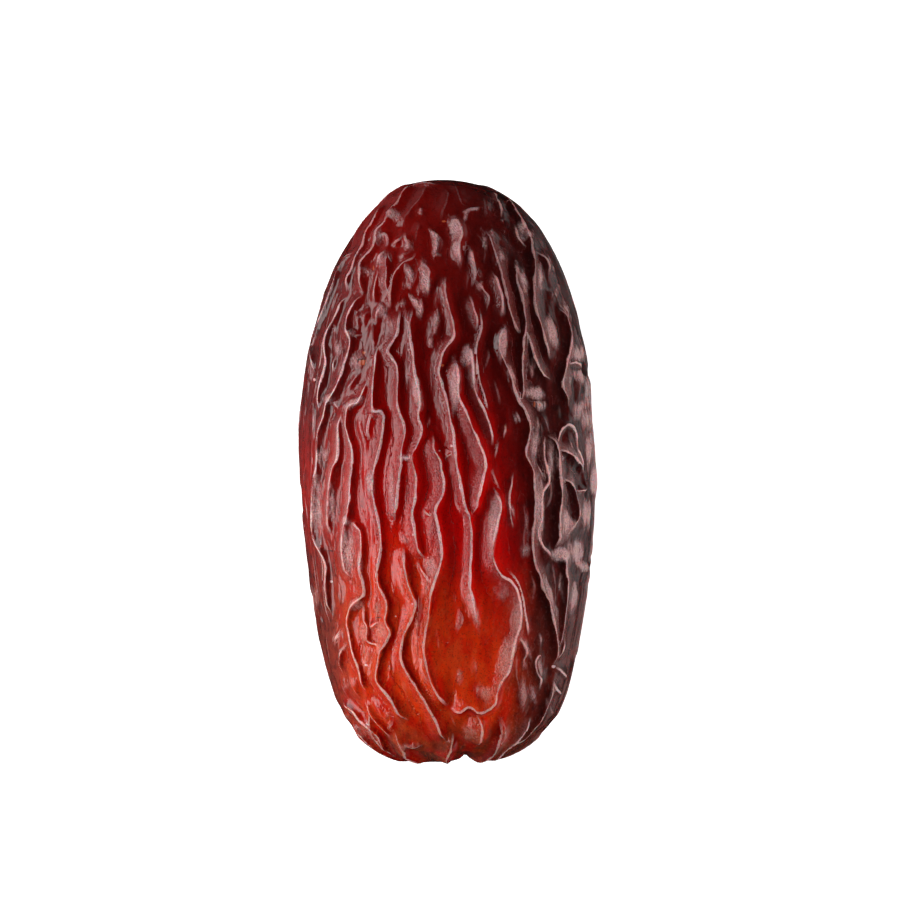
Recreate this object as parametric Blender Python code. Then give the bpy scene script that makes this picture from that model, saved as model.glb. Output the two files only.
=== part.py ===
"""A medjool date that lies on its side on a small flat spot.

The fruit is one closed body. Its length runs along Y, with the rounded tip at +Y and the
blunt stem end at -Y, and its width runs along X. The skin's wrinkles stand up from a smooth
body as ridges. The ridges of the upper side follow lines chosen by hand, as an eye above the
fruit sees them. Those of the underside wander along it by a rule.

Lengths below are in millimetres until the mesh is built, which is in metres.
"""

import math
import random

import bmesh
import bpy
import numpy as np

NODE_NAME = "medjool_date"
MM = 0.001

# The smooth body under the ridges
HALF_LENGTH = 24.3
HALF_WIDTH = 12.2
TOP_HEIGHT = 10.95
BOTTOM_HEIGHT = 10.95
AXIS_HEIGHT = 10.8
SECTION_POWER = 2.15
TIP_POWER = 2.2
BLUNT_TAPER = 0.265
BLUNT_TAPER_POWER = 1.5
BLUNT_POWER = 8.0
BLUNT_CORNER = 2.6
BOW = ((-24.3, 0.05), (-21.0, 0.3), (-14.0, 0.12), (-8.0, 0.28), (4.0, -0.12),
       (11.0, 0.0), (20.0, 0.15), (22.0, 0.15), (24.3, -0.4))

# The eye above the fruit that the ridge lines are drawn for
EYE = (0.17, 1.75, 340.0)

# Mesh fineness: cells across and along the body, and the triangles kept
CELLS_ACROSS = 84
CELLS_ALONG = 136
TRIANGLES = 11600
STATIONS = 2001
STEPS_PER_SPAN = 4
SHARP_ANGLE = 50.0

# Ridges: how they round off, blend, fade out at their ends and lie flatter round the outline
CREST_ROUND = 0.12
BLEND_POWER = 3.0
REACH = 3.6
END_FADE = 1.1
END_HEIGHT = 0.25
RIM_HEIGHT = 0.45
RIM_FACING = 0.5

# The flat spot: what lies lower than this is pressed to the floor
PRESSED = 0.03

# The ridges of the flanks and the underside, and those round both ends
UNDER_SEED = 11
UNDER_LINES = 22
UNDER_FROM = 80.0
UNDER_TO = 280.0
UNDER_ENDS = (22.8, -22.8)
UNDER_START = 3.0
UNDER_PIECE = (8.0, 19.0)
UNDER_GAP = (-1.5, 1.2)
UNDER_WANDER = 0.55
UNDER_DRIFT = 0.6
UNDER_STEP = 2.0
END_LINES = 15
END_POINTS = 5
END_TURN = 0.09
TIP_SHARES = (0.62, 0.14)
BLUNT_SHARES = (0.66, 0.24)
TIP_ANGLES = (70.0, 290.0)

SKIN_COLOR = (0.21, 0.028, 0.02, 1.0)
SKIN_ROUGHNESS = 0.36

# A ridge's height, then how far it spreads to its left and right, seen top to bottom
THIN = (0.38, 0.32, 0.30)
LEFT_HIGH = (0.65, 0.65, 0.30)
LEFT_BANK = (1.0, 1.0, 0.40)
LEFT = (0.52, 0.80, 0.28)
LEFT_WIDE = (0.58, 1.15, 0.30)
RIGHT = (0.52, 0.28, 0.80)
RIGHT_WIDE = (0.56, 0.30, 1.15)
SOFT = (0.26, 0.55, 0.55)

TIP_RIDGES = [
    (THIN, (-3.2, 23.8), (-2.2, 23.9), (-1.1, 23.9), (-0.6, 24.0)),
    (SOFT, (-1.8, 23.8), (-2.1, 22.8), (-2.9, 21.9), (-3.5, 21.0), (-3.55, 20.3)),
    (SOFT, (-0.1, 23.6), (0.2, 23.0), (0.0, 22.3), (-0.35, 21.5), (-0.45, 20.9)),
    (SOFT, (0.75, 24.0), (1.1, 22.9), (1.4, 22.3), (2.0, 22.2)),
    (THIN, (4.0, 23.3), (4.5, 22.1), (4.8, 21.0)),
    (LEFT_HIGH, (2.8, 21.9), (2.0, 21.6), (1.4, 21.1), (1.5, 20.4), (1.9, 19.3)),
    (LEFT_HIGH, (0.3, 21.0), (0.8, 20.8), (1.15, 20.2), (1.3, 19.6), (1.1, 18.9), (1.05, 18.0),
     (1.35, 17.0)),
    (LEFT, (-1.3, 20.0), (-0.5, 19.4), (-0.35, 18.9), (-0.55, 18.2)),
    (THIN, (-3.6, 20.0), (-3.5, 19.4), (-3.1, 18.6)),
    (THIN, (-4.8, 18.95), (-4.1, 19.2), (-3.8, 19.7)),
    (THIN, (1.9, 18.9), (2.1, 17.9), (2.35, 17.0), (2.4, 16.0), (2.15, 15.3)),
    (LEFT_HIGH, (2.5, 20.0), (3.1, 19.1), (3.35, 18.3), (3.2, 17.2)),
    (LEFT, (-3.0, 23.8), (-3.5, 23.1), (-4.05, 22.1), (-4.7, 21.2), (-5.1, 20.5),
     (-5.8, 19.9), (-5.9, 19.2), (-6.1, 18.5), (-6.7, 17.8), (-7.15, 17.2), (-7.2, 16.0),
     (-7.1, 14.8)),
    (LEFT, (-5.3, 22.2), (-5.7, 21.4), (-6.2, 20.5), (-6.7, 19.7), (-7.0, 18.7),
     (-7.6, 17.6), (-7.85, 16.8), (-8.3, 16.0), (-8.5, 14.9)),
    (RIGHT, (4.9, 22.9), (5.8, 21.4), (6.5, 20.1), (7.1, 18.5), (7.27, 17.0), (7.27, 15.0),
     (7.5, 13.2), (8.0, 11.4), (8.4, 10.2), (8.85, 9.2)),
    (RIGHT, (7.4, 18.4), (8.0, 17.8), (8.5, 17.1), (8.7, 16.2)),
]

LEFT_RIDGES = [
    (LEFT, (-7.1, 14.8), (-8.1, 13.2), (-8.35, 11.8), (-8.0, 11.0), (-8.1, 10.0),
     (-8.6, 8.6), (-9.0, 7.4), (-9.5, 6.3), (-10.0, 5.6), (-10.3, 4.4), (-10.75, 2.9),
     (-10.8, 0.4), (-11.1, -1.3), (-11.2, -4.5), (-11.0, -5.7), (-10.5, -6.7),
     (-10.15, -7.9), (-10.1, -9.2), (-10.0, -10.5), (-9.8, -12.0)),
    (LEFT, (-8.4, 14.5), (-8.8, 14.1), (-9.1, 13.2), (-9.5, 12.3), (-9.9, 11.6),
     (-10.25, 10.6), (-10.1, 9.4), (-10.2, 8.5), (-10.6, 7.0), (-10.75, 5.9), (-10.9, 4.9)),
    (LEFT, (-7.9, 18.2), (-8.6, 17.6), (-9.1, 16.7), (-9.45, 15.6), (-9.8, 14.7),
     (-10.2, 13.6), (-10.6, 12.7), (-10.9, 12.0), (-11.2, 11.3), (-11.4, 10.4),
     (-11.3, 9.4), (-11.15, 8.2)),
    (SOFT, (-10.7, 8.4), (-10.85, 7.4), (-11.1, 6.4), (-11.5, 5.4), (-11.8, 4.5),
     (-11.9, 3.6)),
    (SOFT, (-11.3, 4.2), (-11.35, 2.5), (-11.4, 0.5), (-11.45, -1.5), (-11.4, -3.2)),
    (SOFT, (-11.3, -6.5), (-11.05, -7.9), (-10.85, -9.3), (-10.65, -10.6), (-10.55, -12.0)),
    (LEFT, (-8.8, 4.9), (-9.0, 3.9), (-9.05, 1.4), (-9.45, 0.1), (-9.7, -1.2),
     (-9.85, -3.6), (-9.85, -5.4)),
    (LEFT, (-6.65, 7.7), (-6.9, 6.7), (-7.4, 5.7), (-7.9, 5.5), (-8.25, 5.1), (-8.4, 4.0),
     (-8.2, 3.0), (-7.9, 1.8), (-7.9, 0.3), (-8.05, -1.6), (-8.25, -3.9), (-8.5, -4.5),
     (-8.7, -6.0), (-8.6, -7.4), (-8.4, -8.3), (-7.9, -8.9)),
    (LEFT, (-8.2, -4.1), (-7.6, -4.5), (-7.15, -5.1), (-7.05, -6.9), (-7.2, -8.2),
     (-6.9, -9.7), (-7.0, -10.4), (-7.9, -11.3), (-8.3, -12.5), (-8.1, -13.8),
     (-7.7, -15.3), (-7.2, -16.7), (-7.0, -17.8), (-6.8, -18.4)),
    (LEFT, (-7.3, -10.9), (-7.0, -11.6), (-6.8, -13.0), (-6.5, -14.1), (-5.8, -14.5)),
    (LEFT, (-5.5, 10.4), (-5.85, 10.1), (-5.95, 8.5), (-6.15, 6.6), (-6.05, 5.1),
     (-5.5, 5.0), (-5.25, 4.4), (-5.35, 3.1), (-5.7, 1.5), (-6.05, 0.1), (-6.15, -1.3),
     (-5.95, -2.8), (-5.55, -4.9), (-5.5, -6.4), (-5.75, -8.2), (-5.6, -9.4),
     (-5.0, -10.8), (-4.95, -11.7), (-5.08, -12.4), (-4.65, -13.3), (-4.9, -14.0),
     (-5.45, -15.0), (-5.75, -16.3), (-5.8, -17.3), (-5.3, -18.1), (-4.45, -19.2),
     (-4.0, -20.0), (-3.2, -20.8)),
    (THIN, (-5.9, 16.9), (-5.8, 16.3), (-6.1, 14.8), (-6.2, 13.9)),
    (LEFT, (-5.15, 18.4), (-5.0, 17.6), (-5.0, 15.6), (-5.0, 14.6)),
    (THIN, (-2.6, 18.3), (-2.9, 17.7), (-3.7, 17.2), (-4.4, 16.3), (-4.7, 15.0),
     (-4.8, 13.5)),
    (SOFT, (-7.2, 8.6), (-7.7, 7.8), (-8.3, 7.0), (-8.9, 6.2)),
    (SOFT, (-8.6, -12.9), (-9.0, -13.8), (-9.1, -14.8), (-8.9, -15.8)),
]

MIDDLE_RIDGES = [
    (LEFT, (-3.95, 13.5), (-4.0, 12.0), (-4.2, 11.2), (-4.9, 10.1), (-4.6, 9.5),
     (-4.1, 8.7), (-4.05, 7.0), (-4.05, 5.4), (-3.6, 4.1), (-3.45, 3.0), (-3.7, 1.8),
     (-3.8, 0.6), (-4.0, -1.0), (-4.2, -3.0), (-4.4, -4.3)),
    (LEFT, (-2.9, 13.6), (-3.0, 12.0), (-3.05, 11.0), (-2.75, 9.6), (-2.7, 8.4),
     (-2.4, 7.2), (-2.15, 5.8), (-2.3, 4.6), (-2.05, 3.5), (-2.35, 2.3), (-2.8, 1.3),
     (-2.6, 0.1), (-2.5, -1.0), (-2.6, -2.3), (-2.85, -3.8), (-2.65, -4.9),
     (-2.35, -6.4), (-1.8, -7.4)),
    (THIN, (-3.75, 1.25), (-3.3, 1.15), (-2.8, 1.3)),
    (LEFT, (-3.65, -6.2), (-3.45, -8.0), (-3.1, -9.5), (-2.6, -10.9), (-2.8, -12.1),
     (-3.5, -13.6), (-3.8, -15.1), (-3.6, -16.1), (-2.9, -17.3), (-1.9, -18.9),
     (-1.0, -20.5), (-0.5, -21.6), (0.0, -22.4)),
    (LEFT_HIGH, (-0.1, 16.3), (-0.1, 15.2), (0.1, 14.2), (0.4, 13.2), (0.65, 12.1),
     (0.65, 11.2), (0.1, 10.4), (-0.35, 9.4), (-0.6, 8.3), (-0.3, 7.2), (0.0, 6.1),
     (0.3, 4.9), (0.6, 3.1), (0.75, 1.8), (0.95, 0.4), (1.3, -1.6), (1.65, -3.0),
     (2.05, -4.0), (2.15, -6.3), (1.95, -9.2), (2.2, -10.6), (2.7, -12.8)),
    (LEFT_WIDE, (-1.1, 3.1), (-1.0, 1.9), (-0.5, 1.0), (-0.4, 0.2), (-0.2, -1.0),
     (-0.3, -2.0), (-0.95, -3.2), (-0.7, -4.6), (-0.4, -6.4), (-0.45, -7.6),
     (-0.9, -8.9), (-1.25, -10.1), (-1.45, -12.1), (-1.85, -14.2), (-1.7, -15.9),
     (-1.1, -17.8), (-0.4, -19.0), (0.15, -19.6)),
    (THIN, (-0.3, 1.0), (0.1, 1.4), (0.7, 1.7)),
    (LEFT_BANK, (0.6, 9.4), (1.0, 8.0), (1.05, 6.2), (1.6, 5.0), (2.3, 3.4), (2.9, 1.9),
     (3.25, 0.5), (3.0, -0.6), (2.7, -2.0), (2.5, -3.0), (2.05, -3.8)),
    (LEFT_HIGH, (1.6, 10.35), (2.1, 10.1), (2.2, 8.6), (2.35, 7.2), (2.7, 6.0), (3.3, 4.8),
     (3.8, 3.3), (4.0, 2.1)),
    (THIN, (2.9, 13.4), (3.0, 12.2), (2.85, 11.3), (2.55, 10.2), (2.6, 8.8), (2.95, 7.3),
     (3.35, 6.0), (3.55, 4.9)),
    (LEFT_HIGH, (2.0, 14.8), (2.3, 13.6), (2.6, 12.6), (2.55, 11.5)),
    (THIN, (2.4, 16.0), (3.1, 15.2), (3.6, 14.5), (3.5, 13.3)),
    (LEFT, (-2.3, 17.6), (-1.7, 17.0), (-1.4, 16.5), (-1.5, 15.4), (-1.55, 14.4)),
    (SOFT, (-2.65, 17.2), (-2.5, 16.2), (-2.95, 15.4), (-3.3, 14.9)),
    (LEFT, (-2.8, 14.7), (-2.1, 14.1), (-2.05, 13.6), (-2.15, 13.0)),
    (LEFT, (-1.4, 13.4), (-0.8, 12.8), (-0.8, 12.0), (-1.1, 11.2), (-1.4, 10.3)),
    (LEFT_BANK, (4.0, -1.2), (4.45, -2.9), (4.15, -4.3), (3.85, -5.8), (3.9, -7.2),
     (4.5, -8.5), (5.3, -9.1), (5.8, -10.0), (6.0, -11.5), (5.9, -12.6), (5.5, -14.0),
     (5.25, -15.4), (5.0, -16.5), (4.4, -17.4), (4.1, -18.4), (3.95, -19.1),
     (3.3, -19.65), (2.6, -19.85), (1.8, -19.4), (1.0, -19.85), (0.2, -19.7)),
    (THIN, (5.3, -8.2), (5.9, -9.1), (6.4, -10.4), (6.65, -12.0), (7.1, -13.8)),
    (THIN, (5.8, -0.1), (5.4, -1.8), (5.4, -3.1), (5.8, -4.8)),
]

RIGHT_RIDGES = [
    (RIGHT, (5.0, 12.3), (4.45, 11.2), (4.4, 10.0), (4.9, 8.8), (5.5, 7.3), (6.0, 6.0),
     (6.7, 4.8), (6.97, 3.7), (6.8, 2.4), (6.6, 1.4), (7.0, 0.4), (7.3, -0.6),
     (7.3, -3.4), (7.15, -5.8), (7.3, -7.3), (7.8, -8.8), (8.2, -10.2), (8.75, -11.7),
     (9.0, -13.0), (9.2, -15.0), (9.1, -16.2)),
    (RIGHT, (5.75, 17.4), (5.75, 15.9), (6.2, 14.7), (6.4, 13.3), (6.55, 12.2),
     (6.45, 10.8), (6.3, 8.8), (6.35, 7.2), (6.3, 5.6)),
    (RIGHT, (6.6, 12.0), (7.0, 10.6), (7.4, 9.2), (8.1, 8.0), (8.9, 7.6)),
    (RIGHT, (3.3, 20.1), (3.6, 19.1), (4.1, 17.7), (4.6, 16.2), (5.0, 14.6), (5.2, 13.4),
     (5.8, 12.0), (6.4, 11.4)),
    (LEFT_HIGH, (3.9, 16.8), (4.3, 15.5), (4.65, 14.2), (4.65, 12.8)),
    (THIN, (8.55, 3.0), (8.3, 2.2), (8.4, 0.7), (8.65, -0.8), (8.1, -1.9), (8.0, -3.9),
     (7.7, -5.1), (8.0, -6.0), (8.5, -6.6), (9.1, -7.2)),
    (RIGHT, (8.55, 3.0), (9.0, 2.6), (9.3, 1.6), (9.4, 0.5), (9.6, -1.0), (9.55, -2.5),
     (9.4, -3.8), (9.45, -5.6), (9.2, -6.5)),
    (THIN, (9.3, 1.75), (10.0, 1.6), (10.6, 1.2), (11.35, 0.5)),
    (RIGHT, (9.6, -0.8), (10.0, -0.75), (10.6, -1.4), (10.95, -2.6), (11.1, -3.6),
     (10.55, -4.5), (10.3, -5.3)),
    (RIGHT, (9.3, -6.9), (9.9, -7.4), (10.0, -8.4), (10.1, -9.5), (9.9, -11.2),
     (9.7, -13.0), (9.3, -15.0)),
    (SOFT, (9.1, -7.4), (9.3, -9.0), (9.3, -10.4), (9.0, -11.5)),
    (RIGHT_WIDE, (9.4, 13.8), (9.95, 12.6), (10.3, 11.4), (10.2, 10.0), (9.9, 8.8),
     (9.65, 7.4), (9.9, 6.3), (10.4, 5.3)),
    (THIN, (10.0, 8.9), (10.6, 9.1), (11.2, 9.0), (11.6, 8.5)),
    (THIN, (9.3, 2.1), (9.6, 3.2), (10.1, 3.85), (10.7, 3.7), (11.1, 3.0), (11.3, 1.4)),
    (SOFT, (10.9, 12.6), (11.1, 11.3), (11.5, 10.0)),
    (SOFT, (11.3, -3.8), (11.6, -4.5), (11.9, -5.2)),
    (THIN, (9.2, -15.6), (9.6, -15.3), (9.9, -14.5), (10.0, -13.6)),
]

BLUNT_RIDGES = [
    (RIGHT, (9.05, -17.3), (8.6, -18.6), (7.9, -20.4), (7.2, -21.3), (6.3, -22.2),
     (5.25, -22.6)),
    (THIN, (9.05, -17.2), (9.15, -18.0), (9.85, -18.55)),
    (THIN, (9.2, -16.2), (9.8, -16.7), (10.3, -17.2)),
    (SOFT, (6.0, -15.0), (5.95, -16.6), (6.2, -17.8), (6.4, -18.9), (6.15, -19.9)),
    (THIN, (6.05, -13.6), (6.5, -14.4), (6.8, -15.1), (6.4, -16.2)),
    (THIN, (8.2, -15.8), (7.8, -15.4), (7.5, -15.9), (7.7, -16.7), (8.0, -17.4),
     (8.05, -18.3)),
    (THIN, (-7.0, -19.0), (-6.2, -20.4), (-5.2, -21.5), (-4.8, -22.3)),
    (LEFT, (-8.9, -19.1), (-8.0, -19.7), (-7.1, -20.7), (-5.8, -21.7), (-5.0, -23.3)),
    (THIN, (-3.9, -22.4), (-3.0, -22.8), (-2.0, -22.7)),
    (LEFT_BANK, (2.55, -19.9), (2.9, -20.9), (2.8, -22.1), (2.5, -22.8)),
    (SOFT, (4.3, -20.2), (4.9, -21.2), (4.9, -22.1), (4.1, -22.9)),
]

# Broad swells and hollows of the upper side: place, radius and height
SWELLS = [
    (3.9, -12.5, 1.6, 0.30),
    (-4.2, 21.3, 0.9, 0.20),
    (10.9, 7.0, 1.1, 0.25),
    (8.6, 11.8, 0.8, 0.15),
    (5.6, 19.2, 1.3, -0.15),
    (8.9, -8.6, 0.9, -0.15),
]

# The stem end's scar, and the groove that shows as a notch in the outline
SCAR = (0.6, 0.3, 2.2, -0.5)
NOTCH = [(1.5, 5.5), (1.5, 3.0), (1.4, 0.5), (1.5, -2.5), (1.7, -5.0)]
NOTCH_STYLE = (0.62, 0.42, 0.42)


def girth(y):
    """Share of the full half width that the body has at a place along its length."""
    u = np.clip(np.abs(y) / HALF_LENGTH, 0.0, 1.0)
    tip = (1 - u ** TIP_POWER) ** (1 / TIP_POWER)
    blunt = 1 - BLUNT_TAPER * u ** BLUNT_TAPER_POWER
    blunt = blunt * (1 - u ** BLUNT_POWER) ** (1 / BLUNT_CORNER)
    return np.where(y >= 0, tip, blunt)


def middle(y):
    """How far to the side the body's axis lies, which is slightly bowed."""
    return np.interp(y, *zip(*BOW))


def body_point(angle, y, share=None):
    """Point on the smooth body. The angle runs from the top (0) by the right side."""
    share = girth(y) if share is None else share
    sine, cosine = np.sin(angle), np.cos(angle)
    round_off = np.abs(sine) ** SECTION_POWER + np.abs(cosine) ** SECTION_POWER
    spread = share * round_off ** (-1 / SECTION_POWER)
    height = np.where(cosine > 0, TOP_HEIGHT, BOTTOM_HEIGHT)
    return np.stack([middle(y) + HALF_WIDTH * spread * sine, y + 0 * angle,
                     AXIS_HEIGHT + height * spread * cosine], axis=-1)


def lift(x, y):
    """Point of the upper side that the eye sees at (x, y) in the plane of the axis."""
    eye_x, eye_y, eye_z = EYE
    z = np.full_like(x, AXIS_HEIGHT + TOP_HEIGHT / 2)
    for _ in range(8):
        nearer = (eye_z - z) / (eye_z - AXIS_HEIGHT)
        along = np.clip(eye_y + (y - eye_y) * nearer, 0.002 - HALF_LENGTH, HALF_LENGTH - 0.002)
        half = HALF_WIDTH * girth(along)
        side = np.clip((eye_x + (x - eye_x) * nearer - middle(along)) / half, -0.992, 0.992)
        z = (1 - np.abs(side) ** SECTION_POWER) ** (1 / SECTION_POWER)
        z = AXIS_HEIGHT + TOP_HEIGHT * girth(along) * z
    return np.stack([middle(along) + half * side, along, z], axis=-1)


def end_point(angle, share, end):
    """Point on an end's face, by its angle round the axis and its share of the width."""
    stations = end * np.linspace(HALF_LENGTH, 0.0, STATIONS)
    return body_point(angle, np.interp(share, girth(stations), stations), share)


def blunt_point(x, z):
    """Point on the blunt end, from its place as seen along the axis."""
    x, z = x / HALF_WIDTH, z / TOP_HEIGHT
    return end_point(np.arctan2(x, z), np.hypot(x, z), -1)


def smooth_line(points):
    """Points closely spaced on a smooth curve through the given points."""
    points = np.array(points, dtype=float)
    before = 2 * points[0] - points[1]
    after = 2 * points[-1] - points[-2]
    knots = np.vstack([before, points, after])
    line = []
    for p, q, r, s in zip(knots, knots[1:], knots[2:], knots[3:]):
        for t in np.arange(STEPS_PER_SPAN) / STEPS_PER_SPAN:
            bend = (2 * p - 5 * q + 4 * r - s) * t + (3 * q - p - 3 * r + s) * t * t
            line.append(q + 0.5 * t * (r - p + bend))
    line.append(points[-1])
    return np.array(line)


def fade(value):
    """Smooth step from 0 to 1."""
    value = np.clip(value, 0.0, 1.0)
    return value * value * (3 - 2 * value)


def ridge(points, normals, line, style):
    """Height of one ridge at the points near its line, and which points those are."""
    height, left, right = style
    reach = REACH * max(left, right)
    inside = (points > line.min(axis=0) - reach) & (points < line.max(axis=0) + reach)
    near = np.flatnonzero(inside.all(axis=1))
    start, step = line[:-1], np.diff(line, axis=0)
    length = np.linalg.norm(step, axis=1)
    offset = points[near, None] - start[None]
    t = np.clip(np.einsum("ijk,jk->ij", offset, step) / length ** 2, 0.0, 1.0)
    offset -= t[..., None] * step[None]
    distance = np.linalg.norm(offset, axis=2)
    rows = np.arange(len(near))
    best = distance.argmin(axis=1)
    offset, distance = offset[rows, best], distance[rows, best]
    side = np.einsum("ij,ij->i", np.cross(step[best], normals[near]), offset)
    spread = np.where(side > 0, left, right)
    along = np.concatenate([[0.0], np.cumsum(length)])[best] + t[rows, best] * length[best]
    to_end = np.minimum(along, length.sum() - along) / min(END_FADE, length.sum() / 2)
    crest = np.exp((CREST_ROUND - np.hypot(distance, CREST_ROUND)) / spread)
    return near, height * crest * (END_HEIGHT + (1 - END_HEIGHT) * fade(to_end))


def underside_ridges(rng):
    """Lines and styles of the ridges that wander along the flanks and the underside."""
    pitch = (UNDER_TO - UNDER_FROM) / UNDER_LINES
    ridges = []
    for number in range(UNDER_LINES):
        angle = math.radians(UNDER_FROM + pitch * (number + 0.5))
        y = UNDER_ENDS[0] - rng.uniform(0.0, UNDER_START)
        while y > UNDER_ENDS[1] + 3 * UNDER_STEP:
            end = max(UNDER_ENDS[1], y - rng.uniform(*UNDER_PIECE))
            places = np.arange(y, end, -UNDER_STEP)
            turns = [rng.uniform(0.0, 2 * math.pi) for _ in range(2)]
            drift = rng.uniform(-UNDER_DRIFT, UNDER_DRIFT)
            wander = np.sin(places / 2.9 + turns[0]) + 0.6 * np.sin(places / 1.6 + turns[1])
            wander = UNDER_WANDER * wander + drift * (y - places) / (y - end)
            turned = angle + wander / HALF_WIDTH
            if len(places) > 2:
                style = rng.choice([THIN, LEFT, RIGHT, LEFT_WIDE, RIGHT_WIDE, SOFT])
                ridges.append((smooth_line(body_point(turned, places)), style))
            y = end - rng.uniform(*UNDER_GAP)
    return ridges


def end_ridges(rng):
    """Lines and styles of the puckers that run in towards the middle of both ends."""
    ridges = []
    for end, shares in ((1, TIP_SHARES), (-1, BLUNT_SHARES)):
        for number in range(END_LINES):
            degrees = 360 * (number + rng.uniform(-0.3, 0.3)) / END_LINES
            share = np.linspace(shares[0] + rng.uniform(0.0, 0.1),
                                shares[1] + rng.uniform(0.0, 0.15), END_POINTS)
            turned = math.radians(degrees) + END_TURN * np.cumsum(
                [rng.uniform(-1.0, 1.0) for _ in share])
            style = rng.choice([THIN, LEFT, RIGHT, SOFT])
            if end < 0 or TIP_ANGLES[0] < degrees < TIP_ANGLES[1]:
                ridges.append((smooth_line(end_point(turned, share, end)), style))
    return ridges


def relief(points, normals):
    """Height of the skin over the smooth body at each point."""
    ridges = []
    for style, *places in TIP_RIDGES + LEFT_RIDGES + MIDDLE_RIDGES + RIGHT_RIDGES + BLUNT_RIDGES:
        flat = smooth_line(places)
        ridges.append((lift(flat[:, 0], flat[:, 1]), style))
    rng = random.Random(UNDER_SEED)
    total = np.zeros(len(points))
    for line, style in ridges + underside_ridges(rng) + end_ridges(rng):
        near, height = ridge(points, normals, line, style)
        total[near] += height ** BLEND_POWER
    facing = fade(np.abs(normals[:, 2]) / RIM_FACING)
    total = total ** (1 / BLEND_POWER) * (RIM_HEIGHT + (1 - RIM_HEIGHT) * facing)
    for x, y, radius, height in SWELLS:
        centre = lift(np.array([x]), np.array([y]))
        distance = np.linalg.norm(points - centre, axis=1)
        total += height * np.exp(-(distance / radius) ** 2)
    x, z, radius, height = SCAR
    distance = np.linalg.norm(points - blunt_point(np.array([x]), np.array([z])), axis=1)
    total += height * np.exp(-(distance / radius) ** 2)
    notch = np.array(NOTCH)
    notch = smooth_line(blunt_point(notch[:, 0], notch[:, 1]))
    near, depth = ridge(points, normals, notch, NOTCH_STYLE)
    total[near] -= depth
    return total


def cube_grid():
    """A cube whose faces are cut into a grid, finer along Y, as a bmesh."""
    bm = bmesh.new()
    bmesh.ops.create_cube(bm, size=2.0)
    for axis, cells in ((0, CELLS_ACROSS), (1, CELLS_ALONG), (2, CELLS_ACROSS)):
        edges = [e for e in bm.edges if abs((e.verts[0].co - e.verts[1].co)[axis]) > 1.9]
        bmesh.ops.subdivide_edges(bm, edges=edges, cuts=cells - 1, use_grid_fill=True)
    return bm


def wrap_round_body(points):
    """Carry the points of the cube onto the smooth body, evenly along its length."""
    points = np.tan(points * (np.pi / 4))
    points /= np.linalg.norm(points, axis=1, keepdims=True)
    stations = -HALF_LENGTH * np.cos(np.linspace(0.0, np.pi, STATIONS))
    shares = girth(stations)
    steps = np.hypot(np.diff(stations), HALF_WIDTH * np.diff(shares))
    run = np.concatenate([[0.0], np.cumsum(steps)])
    place = run[-1] * (1 - np.arccos(np.clip(points[:, 1], -1.0, 1.0)) / np.pi)
    angle = np.arctan2(points[:, 0], points[:, 2])
    return body_point(angle, np.interp(place, run, stations), np.interp(place, run, shares))


def read_points(mesh):
    """The mesh's vertices and their normals as arrays."""
    points = np.empty(3 * len(mesh.vertices))
    normals = np.empty(3 * len(mesh.vertices))
    mesh.vertices.foreach_get("co", points)
    mesh.vertex_normals.foreach_get("vector", normals)
    return points.reshape(-1, 3), normals.reshape(-1, 3)


def write_points(mesh, points):
    """Move the mesh's vertices to the points."""
    mesh.vertices.foreach_set("co", points.astype(np.float32).ravel())
    mesh.update()


def settle(points):
    """Centre the fruit over the origin and press its lowest skin flat on the floor."""
    points = points.copy()
    for axis in (0, 1):
        points[:, axis] -= (points[:, axis].max() + points[:, axis].min()) / 2
    points[points[:, 2] < PRESSED, 2] = 0.0
    return points


def skin_material():
    """The date's glossy dark red-brown skin."""
    material = bpy.data.materials.new("date_skin")
    material.use_nodes = True
    shader = material.node_tree.nodes["Principled BSDF"]
    shader.inputs["Base Color"].default_value = SKIN_COLOR
    shader.inputs["Roughness"].default_value = SKIN_ROUGHNESS
    shader.inputs["Metallic"].default_value = 0.0
    return material


def make_date():
    """Build the fruit as one closed mesh object."""
    mesh = bpy.data.meshes.new(NODE_NAME)
    bm = cube_grid()
    bm.to_mesh(mesh)
    bm.free()
    points, _ = read_points(mesh)
    write_points(mesh, wrap_round_body(points))
    points, normals = read_points(mesh)
    write_points(mesh, settle(points + normals * relief(points, normals)[:, None]))

    date = bpy.data.objects.new(NODE_NAME, mesh)
    bpy.context.scene.collection.objects.link(date)
    thin_out = date.modifiers.new("thin_out", "DECIMATE")
    thin_out.ratio = TRIANGLES / (2 * len(mesh.polygons))
    thin_out.use_collapse_triangulate = True
    seen = date.evaluated_get(bpy.context.evaluated_depsgraph_get())
    thinned = bpy.data.meshes.new_from_object(seen)
    date.modifiers.clear()
    date.data = thinned
    bpy.data.meshes.remove(mesh)

    thinned.name = NODE_NAME
    points, _ = read_points(thinned)
    write_points(thinned, settle(points) * MM)
    thinned.shade_smooth()
    thinned.set_sharp_from_angle(angle=math.radians(SHARP_ANGLE))
    thinned.materials.append(skin_material())
    return date


for old in list(bpy.data.objects):
    bpy.data.objects.remove(old, do_unlink=True)
make_date()
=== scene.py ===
"""The looks of a medjool date: its finely wrinkled, glossy skin, and a plain pale studio."""

import math
import random

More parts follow.
